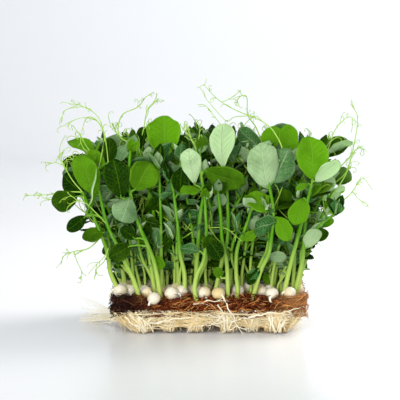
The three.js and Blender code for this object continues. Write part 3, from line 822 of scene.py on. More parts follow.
def stipules(shoot, place, way, size, chance, behind=False):
    """Two leafy ears that clasp the stem where a petiole leaves it, or clasp it from behind."""
    for side in (-1, 1):
        out = way.copy()
        out.rotate(Matrix.Rotation(side * math.radians(chance.uniform(50, 80)), 3, UP))
        out.z = chance.uniform(0.1, 0.9)
        if behind:
            out.y = abs(out.y) + 0.45
        out.normalize()
        shoot.leaves.append(Leaf(
            place - out * 1.0 * MM, place + out * size, size * 0.7, face=(way + UP * 0.5).normalized(),
            fold=0.3, droop=0.25, tone=chance.uniform(-0.1, 0.6), turn=chance.uniform(-20, 20),
            phase=chance.uniform(0, 6), point=0.7, cuts=4,
        ))


def bud_leaf(top, way, face, lengths, widths, painted_sun_range, chance):
    """One of the folded young leaves at the tip of a shoot."""
    return Leaf(
        top - way * 2 * MM, top + way * chance.uniform(*lengths) * MM, chance.uniform(*widths) * MM,
        face=face, fold=0.4, droop=-0.1, tone=chance.uniform(*painted_sun_range), phase=chance.uniform(0, 6),
        point=0.4, cuts=4,
    )


# A front shoot with a leaf nearer its tip than this has no bud.
BUD_CLEARANCE = 14 * MM


def front_shoot(row, chance):
    """A shoot along the front, as its row of the table gives it."""
    foot = stem_foot(*row["stem"][0])
    shoot = Shoot([foot, *in_metres(row["stem"][1:])])
    for base, tip, width, turn, tone, *wedge in row["leaves"]:
        base, tip = in_metres((base, tip))
        along = (tip - base).normalized()
        start = petiole_start(shoot.path, base)
        shoot.petiole(start, base, along)
        shoot.leaves.append(Leaf(
            base, tip, width * 1.1 * MM, turn, tone=tone, fold=chance.uniform(0.05, 0.22),
            wave=0.05, phase=chance.uniform(0, 6), cup=chance.uniform(-0.3, 0.3), cuts=11,
            wedge=wedge[0] if wedge else 0.42,
        ))
        if width > 9:
            way = (base - start) if (base - start).length > MM else along
            stipules(shoot, start, way.normalized(), chance.uniform(6, 10) * MM, chance, behind=True)
    top = shoot.path[-1]
    covered = any((leaf.base - top).length < BUD_CLEARANCE for leaf in shoot.leaves)
    for _ in range(0 if covered else 4):
        way = heading(chance.uniform(0, 360), chance.uniform(30, 80))
        face = (FRONT + way * 0.3).normalized()
        shoot.leaves.append(bud_leaf(top, way, face, (8, 14), (6, 9), (0.2, 0.9), chance))
    for points in row.get("tendrils", ()):
        path = smooth_path(in_metres(points))
        shoot.tendril(path)
        side_threads(shoot, path, chance, 7)
    for points in row.get("curls", ()):
        path = smooth_path(in_metres(points))
        shoot.tendril(path, TENDRIL_RADIUS * 0.65)
        side_threads(shoot, path, chance, 3)
    return shoot


# Side threads that would reach further right than this are left out.
THREAD_LIMIT = 118 * MM


def side_threads(shoot, path, chance, count):
    """Short fine threads that leave a tendril along its outer half."""
    for _ in range(count):
        k = chance.randrange(len(path) // 3, len(path) - 1)
        way = (path[k + 1] - path[k]).normalized()
        way += Vector([chance.uniform(-0.8, 0.8) for _ in range(3)])
        thread = curl(path[k], way, chance.uniform(4, 11) * MM, chance.uniform(0.1, 1.0), chance)
        if max(p.x for p in thread) < THREAD_LIMIT:
            shoot.tendril(thread, TENDRIL_RADIUS * 0.5, TENDRIL_TIP * 0.8)


def row_shoot(row, column, chance):
    """A shoot behind the front ones. It repeats the CAD's own stream of numbers, so its stem and
    leaf pairs stand where the solid's do, and it adds stipules, a bud and tendrils."""
    stream = numbers(row * SHOOTS_PER_ROW + column + 1)

    def between(low, high):
        return low + (high - low) * next(stream)

    x = (column - (SHOOTS_PER_ROW - 1) / 2) * COLUMN_SPACING / MM + between(-5, 5)
    y = (ROW_START + row * ROW_SPACING) / MM + between(-3, 3)
    lean = Vector((x * 0.36 + between(-9, 9), (y - 4) * 0.35 + between(-5, 5), 0)) * MM
    height = (between(84, 108) - abs(x) * 0.14) * MM
    foot = stem_foot(x, y)

    def at(t):
        return foot + UP * (t * height) + lean * t**2

    shoot = Shoot([at(t) for t in (0, 0.3, 0.55, 0.8, 1)])
    side = between(0, 360)
    for t in (0.62, 0.93):
        way = heading(side, between(25, 50))
        end = at(t) + way * (between(9, 14) * MM)
        shoot.petiole(at(t), end, way)
        for spread in (-62, 62):
            along = heading(side + spread + between(-12, 12), between(0, 40))
            tip = end + along * (between(21, 27) * MM)
            face = heading(side, between(35, 75))
            width = between(13, 17) * MM
            turn = between(-25, 25)
            shoot.leaves.append(Leaf(
                end, tip, width * 1.12, turn, face, tone=chance.uniform(0.1, 0.8),
                fold=chance.uniform(0.05, 0.3), phase=chance.uniform(0, 6),
                cup=chance.uniform(-0.3, 0.3),
            ))
        stipules(shoot, at(t), way, chance.uniform(8, 12) * MM, chance)
        stalk_tendril(shoot, end, way, chance)
        side += between(150, 210)
    extras(shoot, at, side, chance)
    return shoot


def stalk_tendril(shoot, end, way, chance):
    """The petiole runs on into a stalk that forks into curling threads."""
    stalk = smooth_path([end, end + way * 8 * MM + UP * 1 * MM, end + way * 14 * MM + UP * 4 * MM])
    shoot.tendril(stalk, TENDRIL_RADIUS * 0.9, TENDRIL_RADIUS * 0.6)
    for _ in range(chance.choice((1, 2, 2, 3))):
        fork = stalk[chance.randrange(len(stalk) // 2, len(stalk))]
        aside = (chance.uniform(-0.8, 0.8), chance.uniform(-0.8, 0.8), chance.uniform(0, 1))
        turned = way + Vector(aside)
        path = curl(fork, turned, chance.uniform(9, 20) * MM, chance.uniform(0.3, 1.6), chance)
        shoot.tendril(path, TENDRIL_RADIUS * 0.55)


def extras(shoot, at, side, chance, low_pair=True):
    """A small lower leaf pair and the folded young leaves at the tip."""
    if low_pair:
        t = chance.uniform(0.36, 0.48)
        way = heading(side, 40)
        end = at(t) + way * chance.uniform(5, 9) * MM
        shoot.petiole(at(t), end, way, 1 * MM)
        for spread in (-55, 55):
            along = heading(side + spread, chance.uniform(0, 30))
            shoot.leaves.append(Leaf(
                end, end + along * chance.uniform(10, 16) * MM, chance.uniform(7, 10) * MM,
                chance.uniform(-30, 30), heading(side, 50), tone=chance.uniform(0.0, 0.6),
                phase=chance.uniform(0, 6), cuts=4,
            ))
        stipules(shoot, at(t), way, chance.uniform(6, 9) * MM, chance)
    top = at(1.0)
    for turn in (0, 110, 170, 240, 300):
        way = heading(side + turn + chance.uniform(-20, 20), chance.uniform(40, 80))
        face = heading(side + turn, 0) * -1
        shoot.leaves.append(bud_leaf(top, way, face, (9, 16), (6, 10), (0.1, 0.8), chance))


# Nearer the front than these, leaves in the thick of the block turn to the back, and stems have
# no leaves low down. The first is a place, the second a count of millimetres.
KEEP_BACK = -12 * MM
BARE_BEFORE = -14


# How much a leaf's painted sun rises with each metre to the right of the middle: painted light on
# the side that the window lamp lights.
PAINTED_SUN_RIGHT = 5.5


def inner_shoot(x, y, chance, height, spread_out=0.34):
    """A shoot in the thick of the block, where the CAD model has room for no more."""
    lean_x = x * spread_out + chance.uniform(-10, 10)
    lean = Vector((lean_x, (y + 2) * 0.4 + chance.uniform(-7, 7), 0)) * MM
    lean *= height / (95 * MM)
    foot = stem_foot(x, y)
    sway = chance.uniform(-4, 4) * MM

    def at(t):
        return foot + UP * (t * height) + lean * t**2 + Vector((sway * math.sin(7 * t), 0, 0))

    stem = [at(t) for t in (0, 0.15, 0.3, 0.45, 0.6, 0.8, 1)]
    shoot = Shoot(stem, chance.uniform(0.95, 1.55) * MM)
    side = chance.uniform(0, 360)
    for t in (0.22, 0.36, 0.52, 0.72, 0.93):
        if y < BARE_BEFORE and t < 0.5:
            continue
        t += chance.uniform(-0.04, 0.04)
        full = 0.4 + 0.6 * min(1.0, t * height / (66 * MM))
        way = heading(side, chance.uniform(15, 55))
        if at(t).y < KEEP_BACK and way.y < 0:
            side = -side
            way.y = -way.y
        end = at(t) + way * chance.uniform(6, 12) * full * MM
        shoot.petiole(at(t), end, way)
        for spread in (-62, 62):
            along = heading(side + spread + chance.uniform(-15, 15), chance.uniform(-10, 45))
            if at(t).y < KEEP_BACK and along.y < -0.2:
                along.y = -along.y
            # Leaves further right get more painted sun: painted light on the window lamp's side.
            shoot.leaves.append(Leaf(
                end, end + along * chance.uniform(16, 24) * full * MM,
                chance.uniform(12, 18) * full * MM,
                chance.uniform(-35, 35), heading(side, chance.uniform(30, 75)),
                tone=chance.uniform(-0.3, 0.6) + PAINTED_SUN_RIGHT * max(0.0, at(t).x),
                fold=chance.uniform(0.05, 0.3), phase=chance.uniform(0, 6),
                cup=chance.uniform(-0.3, 0.3),
            ))
        stipules(shoot, at(t), way, chance.uniform(7, 11) * full * MM, chance)
        if t > 0.6:
            stalk_tendril(shoot, end, way, chance)
        side += chance.uniform(150, 210)
    extras(shoot, at, side, chance, low_pair=y > BARE_BEFORE)
    return shoot


def show_shoot(shoot, *nodes, name):
    """A shoot's stems, leaves and tendrils as pieces that stand for the CAD nodes, if any."""
    pieces = [strands(name + "_stem", shoot.stems, "stem", STEM, roundness=2 if nodes else 1)]
    if shoot.leaves:
        pieces.append(leafage(name + "_leaves", shoot.leaves))
    if shoot.tendrils:
        pieces.append(strands(name + "_tendrils", shoot.tendrils, "stem", TENDRIL, roundness=1))
    if nodes:
        for piece in pieces:
            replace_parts(piece, *nodes)


def all_shoots():
    """The shoots of the CAD model: those along the front, then the rows behind."""
    plans = [(front_shoot, (row,)) for row in FRONT_SHOOTS]
    plans += [(row_shoot, (row, column)) for row in range(ROWS) for column in range(SHOOTS_PER_ROW)]
    for index, (grow, plan) in enumerate(plans, 1):
        node = f"shoot_{index:02d}"
        show_shoot(grow(*plan, random.Random(index)), node, name=node)


def show_joined(name, shoots):
    """Several shoots as one set of pieces."""
    joined, *others = shoots
    for shoot in others:
        joined.stems += shoot.stems
        joined.leaves += shoot.leaves
        joined.tendrils += shoot.tendrils
    show_shoot(joined, name=name)


END_SHOOTS = 14


def inner_shoots():
    """More shoots than the CAD model holds, joined in groups: tall ones, short weak ones that
    crowd between their feet, and ones that lean out at both ends."""
    chance = random.Random(77)
    # Name, groups, shoots in each, spacing along a group, first group's place, spacing between
    # groups, and the range of heights, in millimetres.
    kinds = (
        ("inner_shoots", 7, 9, 14, -23, 10.0, (72, 108)),
        ("low_shoots", 3, 9, 13.5, -27, 8.0, (34, 66)),
        ("short_shoots", 4, 9, 13.5, -6, 13.5, (14, 40)),
    )
    for kind, groups, per_group, spacing, first, between, heights in kinds:
        for group in range(groups):
            shoots = []
            for k in range(per_group):
                x = (k - (per_group - 1) / 2) * spacing + chance.uniform(-6, 6)
                y = first + group * between + chance.uniform(-4, 4)
                height = (chance.uniform(*heights) - abs(x) * 0.14) * MM
                shoots.append(inner_shoot(x, y, chance, height))
            show_joined(f"{kind}_{group + 1}", shoots)
    shoots = []
    for k in range(END_SHOOTS):
        x = chance.uniform(50, 62) * (1 if k % 3 == 0 else -1)
        height = chance.uniform(48, 92) * MM
        shoots.append(inner_shoot(x, -26 + 3.6 * k, chance, height, 0.62))
    show_joined("end_shoots", shoots)


# --- Peas -----------------------------------------------------------------------------------------


def shape_pea(bm, centre, radius, chance, fineness):
    """A sprouted pea: a round seed with a dimple, shallow wrinkles and a split in its coat."""

    def some_way():
        return Vector([chance.uniform(-1, 1) for _ in range(3)]).normalized()

    dimple = some_way()
    split_side = (some_way() + FRONT).normalized()
    split_across = split_side.cross(some_way()).normalized()
    offset = some_way() * 50
    for vert in bmesh.ops.create_icosphere(bm, subdivisions=fineness, radius=1.0)["verts"]:
        way = vert.co.normalized()
        size = 1 + 0.05 * noise.noise(way * 1.6 + offset) + 0.015 * noise.noise(way * 6 + offset)
        size -= 0.4 * max(0.0, way.dot(dimple) - 0.75)
        opened = max(0.0, way.dot(split_side) - 0.3)
        size -= 0.09 * opened * max(0.0, 1 - abs(way.dot(split_across)) / 0.09)
        vert.co = centre + Vector((way.x, way.y * 0.96, way.z * 0.94)) * (size * radius)


def pea(name, centre, radius, chance, node):
    bm = bmesh.new()
    shape_pea(bm, centre, radius, chance, 4)
    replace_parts(finished(name, smooth_mesh(name, bm), "seed", SEED), node)


def pea_places():
    """The middle and radius of each pea of the CAD model."""
    places = []
    for node in sorted(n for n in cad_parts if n.startswith("pea_")):
        low, high = (Vector(corner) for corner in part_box(node))
        places.append(((low + high) / 2, max(high.x - low.x, high.z - low.z) / 2))
    return places


# The peas behind: columns and lines of them, how far from the middle they may lie, in
# millimetres, and how far they keep from the CAD model's peas.
PEA_COLUMNS = 13
PEA_LINES = 8
PEA_LIMIT = 61
PEA_CLEARANCE = 8.5 * MM


def peas():
    """Each pea lies where its CAD solid does, and more lie among the stems behind."""
    places = pea_places()
    chance = random.Random(55)
    sprouts = []
    for index, (middle, radius) in enumerate(places, 1):
        node = f"pea_{index:02d}"
        pea(f"{node}_seed", middle, radius * 1.04, random.Random(300 + index), node)
        sprouts.append(sprout(middle, radius, chance))
    bm = bmesh.new()
    for column in range(PEA_COLUMNS):
        for line in range(PEA_LINES):
            x = (column - 6) * 9.8 + (4.9 if line % 2 else 0) + chance.uniform(-2, 2)
            y = (line - 3.5) * 10.2 + chance.uniform(-2, 2)
            radius = chance.uniform(3.6, 4.7) * MM
            centre = Vector((x * MM, y * MM, MAT_TOP + radius * chance.uniform(0.45, 0.8)))
            nearest = min((centre - other).length for other, _ in places)
            if abs(x) < PEA_LIMIT and nearest > PEA_CLEARANCE:
                shape_pea(bm, centre, radius, chance, 3)
                sprouts.append(sprout(centre, radius, chance))
    finished("peas_among_stems", smooth_mesh("peas_among_stems", bm), "seed", SEED)
    strands("pea_sprouts", sprouts, "root", ROOT_FRESH, 2)


def sprout(middle, radius, chance):
    """The first root of a pea: it leaves the split coat, hooks over and goes into the mat."""
    way = heading(chance.uniform(180, 360), chance.uniform(-35, 20))
    start = middle + way * radius * 0.85
    knee = middle + way * (radius + 1.6 * MM) - UP * radius * 0.45
    toe = Vector((knee.x + chance.uniform(-2, 2) * MM, knee.y + 1.2 * MM, MAT_TOP - 2.5 * MM))
    path = smooth_path([start, knee, toe], 5)
    return path, taper(path, 0.95 * MM, 0.45 * MM)


# --- Coconut fibre mat ----------------------------------------------------------------------------


def rounded_block(bm, low, high, cuts, roughness, seed):
    """A slab with rounded edges and a lumpy surface."""
    low, high = Vector(low), Vector(high)
    middle = (low + high) / 2
    half = (high - low) / 2
    bmesh.ops.create_cube(bm, size=2.0)
    bmesh.ops.subdivide_edges(bm, edges=bm.edges[:], cuts=cuts, use_grid_fill=True)
    for vert in bm.verts:
        sx, sy, sz = vert.co
        edge = max(abs(sx), abs(sy)) ** 10
        x = sx * (1 - 0.05 * (sx * sy) ** 4 - 0.025 * abs(sz) ** 4)
        y = sy * (1 - 0.05 * (sx * sy) ** 4 - 0.03 * abs(sz) ** 4)
        z = sz * (1 - 0.16 * edge)
        place = middle + Vector((x * half.x, y * half.y, z * half.z))
        lump = noise.noise_vector(place / (7 * MM) + Vector((seed, 0, 0)))
        lump += 0.5 * noise.noise_vector(place / (2.6 * MM) + Vector((0, seed, 0)))
        vert.co = place + lump * roughness


TOP_FIBRES = 2300
EDGE_FIBRES = 4200


def coir_mat():
    """A core that is nearly hidden, under fibres of three colours."""
    bm = bmesh.new()
    low = Vector(MAT_LOW) + Vector((3.6, 3.6, 0.8)) * MM
    high = Vector(MAT_HIGH) - Vector((3.6, 3.6, 1.8)) * MM
    rounded_block(bm, low, high, 34, 1.5 * MM, 3.0)
    core = finished("coir_core", smooth_mesh("coir_core", bm), "coir", COIR_CORE)
    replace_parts(core, "coir_mat")
    chance = random.Random(11)
    seeds = pea_places()
    runs = [top_fibre(chance) for _ in range(TOP_FIBRES)]
    runs += [edge_fibre(chance) for _ in range(EDGE_FIBRES)]
    shown = [run for run in runs if clear_of(run[0], seeds)]
    kinds = {
        "dark": (COIR_DARK, 0.0, 0.42),
        "rusty": (COIR_RUSTY, 0.42, 0.86),
        "golden": (COIR_GOLDEN, 0.86, 1.0),
    }
    shares = [chance.random() for _ in shown]
    for kind, (material, low, high) in kinds.items():
        picked = [run for run, share in zip(shown, shares) if low <= share < high]
        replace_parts(strands(f"coir_fibres_{kind}", picked, "coir", material), "coir_mat")


def clear_of(path, seeds):
    """Whether a fibre stays off the front of the peas, so that they show."""
    return not any((p - middle).length < radius + 0.2 * MM for middle, radius in seeds for p in path)


def drawn_in(value, low, high):
    """The value, with what lies past either limit drawn in to a quarter."""
    return min(max(value, low + (value - low) / 4), high + (value - high) / 4)


def curly_fibre(place, way, length, radius):
    """A fibre that winds to and fro; it is thickest in its middle."""
    path = [place.copy()]
    for k in range(5):
        way = (way + noise.noise_vector(place / (4.5 * MM)) * 0.75).normalized()
        place = place + way * (length / 5)
        path.append(place.copy())
    low, high = Vector(MAT_LOW), Vector(MAT_HIGH)
    for p in path:
        p.x = drawn_in(p.x, low.x - 0.6 * MM, high.x + 0.6 * MM)
        p.y = drawn_in(p.y, low.y - 0.6 * MM, high.y + 0.6 * MM)
        p.z = drawn_in(p.z, low.z - 1.4 * MM, high.z + 1.6 * MM)
    return path, [radius * share for share in (0.6, 0.9, 1, 0.95, 0.8, 0.4)]


def top_fibre(chance):
    """A fibre that lies on the mat's top."""
    low, high = Vector(MAT_LOW), Vector(MAT_HIGH)
    start = Vector((
        chance.uniform(low.x + 1.5 * MM, high.x - 1.5 * MM),
        chance.uniform(low.y + 1.5 * MM, high.y - 1.5 * MM),
        MAT_TOP + chance.uniform(-1.5, 0.2) * MM,
    ))
    way = heading(chance.uniform(0, 360), chance.gauss(5, 19))
    return curly_fibre(start, way, chance.uniform(5, 17) * MM, chance.uniform(0.1, 0.24) * MM)


def edge_fibre(chance):
    """A fibre on one of the mat's four sides, mostly level, in a clumpy, frayed face."""
    low, high = Vector(MAT_LOW), Vector(MAT_HIGH)
    middle = (low + high) / 2
    half = (high - low) / 2
    out = chance.choice((FRONT, FRONT, FRONT, -FRONT, -FRONT, Vector((1, 0, 0)), Vector((-1, 0, 0))))
    along = UP.cross(out)
    reach = half.x if abs(out.y) > 0.5 else half.y
    edge = half.y if abs(out.y) > 0.5 else half.x
    share = chance.uniform(-0.98, 0.98)
    height = chance.uniform(-1.2, 0.95)
    clump = noise.noise(Vector((share * reach / (6 * MM), height * 1.4, out.x * 9 + out.y * 5)))
    start = middle + along * (share * reach) + UP * (height * half.z)
    rounding = 2.2 * max(0.0, height - 0.6) + 13 * max(0.0, abs(share) - 0.93)
    start += out * (edge - (1.4 + rounding) * MM + (clump * 2.6 + chance.uniform(-1.2, 0.9)) * MM)
    start += UP * (4.5 * MM * noise.noise(Vector((share * reach / (7 * MM), 3.0, out.x * 4 + out.y))))
    way = along * chance.choice((-1, 1)) + UP * chance.gauss(0, 0.5) + out * chance.gauss(0, 0.24)
    length = chance.uniform(4, 14) * MM
    radius = chance.choice((0.11, 0.16, 0.22, 0.3)) * MM
    return curly_fibre(start, way.normalized(), length, radius)


# --- Roots ----------------------------------------------------------------------------------------


def foot_share(x, y):
    """How much of a foot is above a place, from 0 between feet to 1 at a foot's middle."""
    best = 0.0
    for fx, fy, radius in FEET:
        away = math.hypot(x - fx, y - fy) / (radius * 1.25)
        best = max(best, 1 - away * away)
    return best


SOLE_HEIGHT = 0.15 * MM


def root_felt():
    """The felt's body: a lumpy slab whose underside hangs down into the feet."""
    bm = bmesh.new()
    low = Vector(ROOT_LOW)
    high = Vector(ROOT_HIGH)
    body_low = Vector((low.x + 10 * MM, low.y + 7 * MM, 8 * MM))
    body_high = Vector((high.x - 10 * MM, high.y - 7 * MM, high.z + 0.2 * MM))
    rounded_block(bm, body_low, body_high, 44, 1.0 * MM, 9.0)
    middle = (body_low.z + body_high.z) / 2
    for vert in bm.verts:
        below = max(0.0, middle - vert.co.z) / (middle - body_low.z)
        share = foot_share(vert.co.x / MM, vert.co.y / MM)
        vert.co.z -= (vert.co.z - SOLE_HEIGHT) * min(1.0, share * 1.5) * min(1.0, below)
    body = finished("root_felt_body", smooth_mesh("root_felt_body", bm), "root", ROOT_CORE_PAINTED_SHADE)
    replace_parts(body, "root_mat")


# Each side of the felt: the way out of it, the feet that show there and how many roots fall there.
SIDES = [
    (Vector((0, -1, 0)), [0, 1, 2, 3, 4, 5], 1150),
    (Vector((0, 1, 0)), [11, 12, 13, 14], 900),
    (Vector((-1, 0, 0)), [0, 6, 11], 560),
    (Vector((1, 0, 0)), [5, 10, 14], 560),
]


def felt_side(out):
    """How far out a side of the felt stands and half its length, in millimetres."""
    half = (Vector(ROOT_HIGH) - Vector(ROOT_LOW)) / (2 * MM)
    return (half.x, half.y) if abs(out.x) > 0.5 else (half.y, half.x)


def foot_along(foot, along):
    """Where a foot stands along a side."""
    return FEET[foot][0] * along.x + FEET[foot][1] * along.y


def bulge(place, feet, along):
    """How much of a foot stands at a place along a side, from 0 between feet to 1."""
    best = 0.0
    for foot in feet:
        away = (place - foot_along(foot, along)) / (FEET[foot][2] * 1.45)
        best = max(best, 1 - away * away)
    return best


def side_strand(out, feet, chance, proud=0.0, radii=(0.14, 0.2, 0.28, 0.4)):
    """A root that leaves the mat anywhere along one side and gathers into a foot near it."""
    along = UP.cross(out)
    edge, reach = felt_side(out)
    start = chance.uniform(-1, 1) * (reach - 1)

    def pull(foot):
        away = abs(start - foot_along(foot, along))
        return away - FEET[foot][2] + chance.uniform(0, 7)

    foot = min(feet, key=pull)
    foot_x, foot_y, radius = FEET[foot]
    goal = foot_along(foot, along)
    toe = goal + max(-0.75, min(0.75, chance.gauss(0, 0.36))) * radius
    spread = start + max(-14, min(14, toe - start))
    stand = proud + chance.gauss(0, 0.7)
    depth = 0.1 if proud else chance.random()
    foot_edge = foot_x * out.x + foot_y * out.y + radius * (0.85 - 1.2 * depth) - edge
    # Share of the way down, how far out of the side, and height.
    shares = (
        (0.0, 0.6 - 2.4 * depth, chance.uniform(13.4, 16.6)),
        (0.35, -0.8 - 1.6 * depth, chance.uniform(10, 12)),
        (0.75, (foot_edge - 1.2 - 2 * depth) / 2, chance.uniform(5.5, 7.5)),
        (1.0, foot_edge, chance.uniform(0.5, 2.4)),
    )
    points = []
    for share, back, height in shares:
        place = start + (spread - start) * share + chance.gauss(0, 0.6) * share
        swell = 4.4 * bulge(place, feet, along) - 3.2
        outward = edge + back + (swell if 0 < share < 1 else 0.5 * swell) + stand * min(1, share * 2)
        points.append((along * place + out * outward + UP * height) * MM)
    path = smooth_path(points, 4)
    thick = chance.choice(radii) * MM
    keep_above(path, thick + 0.1 * MM)
    return path, taper(path, thick, thick * 0.6)


def swag(out, feet, chance):
    """A root that runs along the felt's side, dipping and rising between the feet."""
    along = UP.cross(out)
    edge, reach = felt_side(out)
    place = chance.uniform(-1, 1) * reach * 0.98
    step = chance.uniform(2.5, 8.0) * chance.choice((-1, 1))
    level = chance.uniform(6.0, 15.2)
    limit = chance.uniform(11.5, 17.0)
    points = []
    for _ in range(6):
        swell = bulge(place, feet, along)
        height = min(max(level, 8.5 - 5.5 * swell), limit)
        inwards = (14 - height) * (0.75 if abs(out.x) > 0.5 else 0.12)
        overlap = 3.2 * max(0.0, min(1.0, height - 13.4))
        outward = edge - 3.0 + 4.0 * swell - inwards + overlap + chance.uniform(-0.5, 1.3)
        points.append((along * place + out * outward + UP * height) * MM)
        level += chance.uniform(-2.4, 1.9)
        place = max(-reach, min(reach, place + step * chance.uniform(0.6, 1.4)))
    path = smooth_path(points, 4)
    thick = chance.choice((0.14, 0.18, 0.26, 0.42)) * MM
    return path, taper(path, thick, thick * 0.5)


def fringe(out, chance):
    """A fine free root that hangs from the mat's edge and bows outwards."""
    along = UP.cross(out)
    edge, reach = felt_side(out)
    place = chance.uniform(-1, 1) * reach
    stand = edge - chance.uniform(0, 3.5)
    level = chance.uniform(13.5, 17)
    fall = chance.uniform(3.5, 14.5)
    drift = chance.gauss(0, 5)
    bow = chance.gauss(0.6, 1.4)
    points = []
    for t in (0, 0.25, 0.5, 0.75, 1):
        outward = stand + bow * math.sin(2.6 * t) - 2.0 * t * t
        height = max(0.6, level - fall * t)
        points.append((along * (place + drift * t) + out * outward + UP * height) * MM)
    path = wander(smooth_path(points, 2), 1.3 * MM, chance.random() * 40)
    keep_above(path, 0.4 * MM)
    thick = chance.choice((0.12, 0.16, 0.24)) * MM
    return path, taper(path, thick, thick * 0.4)


# To the right of this place, more of the roots take the darker amber copy of the root skin, which
# is painted shade.
PAINTED_SHADE_FROM = 26 * MM


def root_strands():
    """The roots on the felt's four sides: falling, running along, hanging free and bold."""
    chance = random.Random(21)
    running = []
    hanging = []
    bold = []
    for number, (out, feet, count) in enumerate(SIDES, 1):
        falling = [side_strand(out, feet, chance) for _ in range(count)]
        # Some falling roots take the darker amber copy of the root skin, painted shade; more to the
        # right.
        turned = [
            chance.random() < (0.5 if path[0].x > PAINTED_SHADE_FROM else 0.14) for path, _ in falling
        ]
        pale = [run for run, in_painted_shade in zip(falling, turned) if not in_painted_shade]
        painted_shade_runs = [run for run, in_painted_shade in zip(falling, turned) if in_painted_shade]
        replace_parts(strands(f"root_tassels_{number}", pale, "root", ROOT), "root_mat")
        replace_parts(strands(f"painted_shade_tassels_{number}", painted_shade_runs, "root", ROOT_PAINTED_SHADE), "root_mat")
        running += [swag(out, feet, chance) for _ in range(count // 4)]
        hanging += [fringe(out, chance) for _ in range(count // 3)]
        bold += [side_strand(out, feet, chance, 1.3, (0.35, 0.45, 0.6)) for _ in range(count // 16)]
    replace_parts(strands("root_swags", running, "root", ROOT), "root_mat")
    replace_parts(strands("root_fringe", hanging, "root", ROOT), "root_mat")
    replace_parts(strands("bold_roots", bold, "root", ROOT_FRESH, 2), "root_mat")


# Thick single roots along the front, in millimetres: path and radius.
LONG_ROOTS = [
    ([(-38, -44, 7), (-24, -45, 11), (-8, -45, 13), (8, -45, 12), (22, -44, 8)], 0.55),
    ([(24, -44, 11), (36, -46, 13.5), (49, -47, 16), (63, -45, 18.5)], 0.75),
    ([(-11, -44, 21), (0, -45, 23), (8, -46, 25)], 0.6),
    ([(6, -46, 21), (9, -46, 14), (5, -45, 8)], 0.45),
    ([(12, -46, 22), (16, -46, 13), (20, -46, 6), (24, -46, 1.4)], 0.5),
    ([(19, -46, 6), (13, -46, 3), (8, -45, 1.2)], 0.4),
    ([(19, -46, 6), (27, -46, 4), (32, -45, 1.6)], 0.35),
    ([(-58, -44, 12), (-50, -46, 6), (-44, -44, 2)], 0.5),
    ([(30, -45, 13), (20, -46, 10), (2, -46, 8), (-14, -45, 5)], 0.4),
    ([(-26, -45, 13), (-34, -46, 9), (-46, -45, 6), (-56, -44, 6)], 0.4),
]

# The bundle that trails from the left end onto the surface, in millimetres.
TRAILS = [
    [(-67, -22, 8), (-75, -12, 5), (-84, -4, 2.4), (-94, 2, 1.4)],
    [(-67, -18, 9), (-76, -9, 6), (-83, -3, 3.2), (-90, 4, 1.4)],
    [(-67, -25, 6.5), (-73, -16, 4.4), (-82, -7, 2.4), (-96, -4, 1.3)],
]


def wander(path, amount, seed):
    """The path made a little crooked, as a root is."""
    moved = []
    for k, p in enumerate(path):
        drift = noise.noise_vector(p / (5 * MM) + Vector((seed, 0, 0)))
        moved.append(p + drift * amount * min(1.0, k / 3))
    return moved


# How high a root that lies on the surface has its middle.
LYING = 0.5 * MM


def long_roots():
    """Thick single roots across the front, each with a few fine side roots."""
    chance = random.Random(41)
    runs = []
    for number, (points, radius) in enumerate(LONG_ROOTS):
        path = wander(smooth_path(in_metres(points), 8), 2.2 * MM, number * 3.7)
        runs.append((path, taper(path, radius * MM, radius * 0.3 * MM)))
        for _ in range(4):
            k = chance.randrange(2, len(path) - 3)
            way = (path[k + 1] - path[k]).normalized()
            way += Vector((chance.uniform(-0.9, 0.9), 0, -0.4))
            hair = [path[k] + way * (step * 1.3 * MM) for step in range(chance.randrange(4, 8))]
            keep_above(hair, LYING)
            hair = wander(hair, 1.2 * MM, number + k)
            runs.append((hair, taper(hair, radius * 0.4 * MM, radius * 0.15 * MM)))
    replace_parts(strands("long_roots", runs, "root", ROOT_FRESH, 2), "root_mat")


TRAIL_STRANDS = 60


def trailing_roots():
    """Strands that leave the left end as a fan, keep together in a wisp and part at its end."""
    chance = random.Random(31)
    runs = []
    for index in range(TRAIL_STRANDS):
        points = in_metres(chance.choice(TRAILS))
        reach = chance.uniform(0.75, 1.0)
        offset = Vector((0, chance.gauss(0, 2.4), chance.gauss(0.4, 0.9))) * MM
        moved = [p + offset * (0.6 + 0.6 * k) for k, p in enumerate(points)]
        rooted = (chance.uniform(-60, -56), chance.uniform(-36, -2), chance.uniform(9, 14))
        moved.insert(0, Vector(rooted) * MM)
        if index % 3 == 0:
            lift = chance.uniform(3, 13) * MM
            for k, p in enumerate(moved[1:], 1):
                p.z += lift * k / 3
        keep_above(moved, LYING)
        path = smooth_path(moved, 4)
        path = wander(path[: max(8, int(len(path) * reach))], 1.3 * MM, index)
        keep_above(path, LYING)
        radius = chance.choice((0.16, 0.24, 0.4)) * MM
        runs.append((path, taper(path, radius, radius * 0.4)))
    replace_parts(strands("trailing_strands", runs, "root", ROOT_FRESH, 1), "trailing_roots")


# --- Room and camera ------------------------------------------------------------------------------


# The sweep, in metres: where the floor starts and ends, the radius it turns up with, and how
# high the wall above that is.
FLOOR_FRONT = -1.8
FLOOR_BACK = 1.3
SWEEP_RADIUS = 0.45
WALL_HEIGHT = 1.6


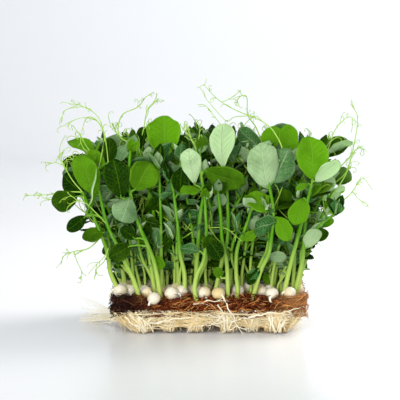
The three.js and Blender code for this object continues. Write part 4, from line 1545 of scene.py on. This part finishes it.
def room():
    """A white sweep: the floor runs back and curves up into the wall."""
    bm = bmesh.new()
    profile = bmesh.ops.create_grid(bm, x_segments=1, y_segments=1, size=0.5)["verts"]
    for vert in profile:
        vert.co = Vector((vert.co.x * 8, FLOOR_FRONT if vert.co.y < 0 else FLOOR_BACK, 0))
    edge = [e for e in bm.edges if all(v.co.y > 0 for v in e.verts)]
    bmesh.ops.spin(
        bm, geom=edge, cent=(0, FLOOR_BACK, SWEEP_RADIUS), axis=(1, 0, 0),
        angle=math.radians(90), steps=24,
    )
    top = [e for e in bm.edges if all(v.co.z > SWEEP_RADIUS - MM for v in e.verts)]
    raised = bmesh.ops.extrude_edge_only(bm, edges=top)["geom"]
    corners = [g for g in raised if isinstance(g, bmesh.types.BMVert)]
    bmesh.ops.translate(bm, verts=corners, vec=(0, 0, WALL_HEIGHT))
    mesh = smooth_mesh("sweep", bm)
    f = Finish("white_sweep")
    # The floor is darker at the front and lighter under and behind the block: painted shade.
    away = f.ramp(f.maths("MULTIPLY_ADD", f.noise(3.0, 2.0), 0.05, f.along("Y")), -0.28, -0.04)
    colour = f.blend(away, (0.6, 0.605, 0.615, 1), (0.725, 0.73, 0.74, 1))
    skin = f.principled({"Base Color": colour, "Roughness": 0.28, "Specular IOR Level": 0.45})
    mesh.materials.append(f.finish(skin.outputs[0]))
    sweep = bpy.data.objects.new("sweep", mesh)
    bpy.context.collection.objects.link(sweep)


def lamp(name, place, target, size, watts, colour):
    """A round lamp at a place, turned to its target."""
    light = bpy.data.lights.new(name, "AREA")
    light.shape = "DISK"
    light.size = size
    light.energy = watts
    light.color = colour
    made = bpy.data.objects.new(name, light)
    made.location = place
    made.rotation_euler = (Vector(target) - Vector(place)).to_track_quat("-Z", "Y").to_euler()
    bpy.context.collection.objects.link(made)


def lights():
    world = bpy.data.worlds.new("white_room")
    world.use_nodes = True
    background = world.node_tree.nodes["Background"].inputs
    background["Color"].default_value = (0.93, 0.96, 1.0, 1)
    background["Strength"].default_value = 0.75
    bpy.context.scene.world = world
    lamp("window", (0.62, 0.4, 0.62), (0.02, 0, 0.08), 0.6, 10.5, (1.0, 0.985, 0.95))
    lamp("backdrop", (0.5, 0.8, 0.75), (0.45, 1.75, 0.55), 0.8, 8, (0.98, 0.99, 1.0))
    lamp("front_fill", (-0.5, -1.0, 0.75), (0, 0, 0.08), 0.9, 6.5, (0.98, 0.99, 1.0))
    lamp("low_fill", (-0.25, -1.15, 0.16), (0, 0, 0.02), 0.6, 10.0, (1.0, 0.97, 0.92))


def camera():
    """Level with the leaves from the front, a few degrees above the horizontal."""
    elevation = math.radians(6.5)
    distance = 1.15
    target = Vector((-0.0062, 0, 0.0882))
    lens = bpy.data.cameras.new("camera")
    lens.sensor_width = 36.0
    lens.lens = 145.4
    lens.clip_end = 20
    made = bpy.data.objects.new("camera", lens)
    made.location = target + Vector((0, -math.cos(elevation), math.sin(elevation))) * distance
    made.rotation_euler = (math.radians(90) - elevation, 0, 0)
    bpy.context.collection.objects.link(made)
    bpy.context.scene.camera = made
    bpy.context.scene.view_settings.view_transform = "Standard"


camera()
lights()
room()
root_felt()
root_strands()
long_roots()
trailing_roots()
coir_mat()
peas()
all_shoots()
inner_shoots()
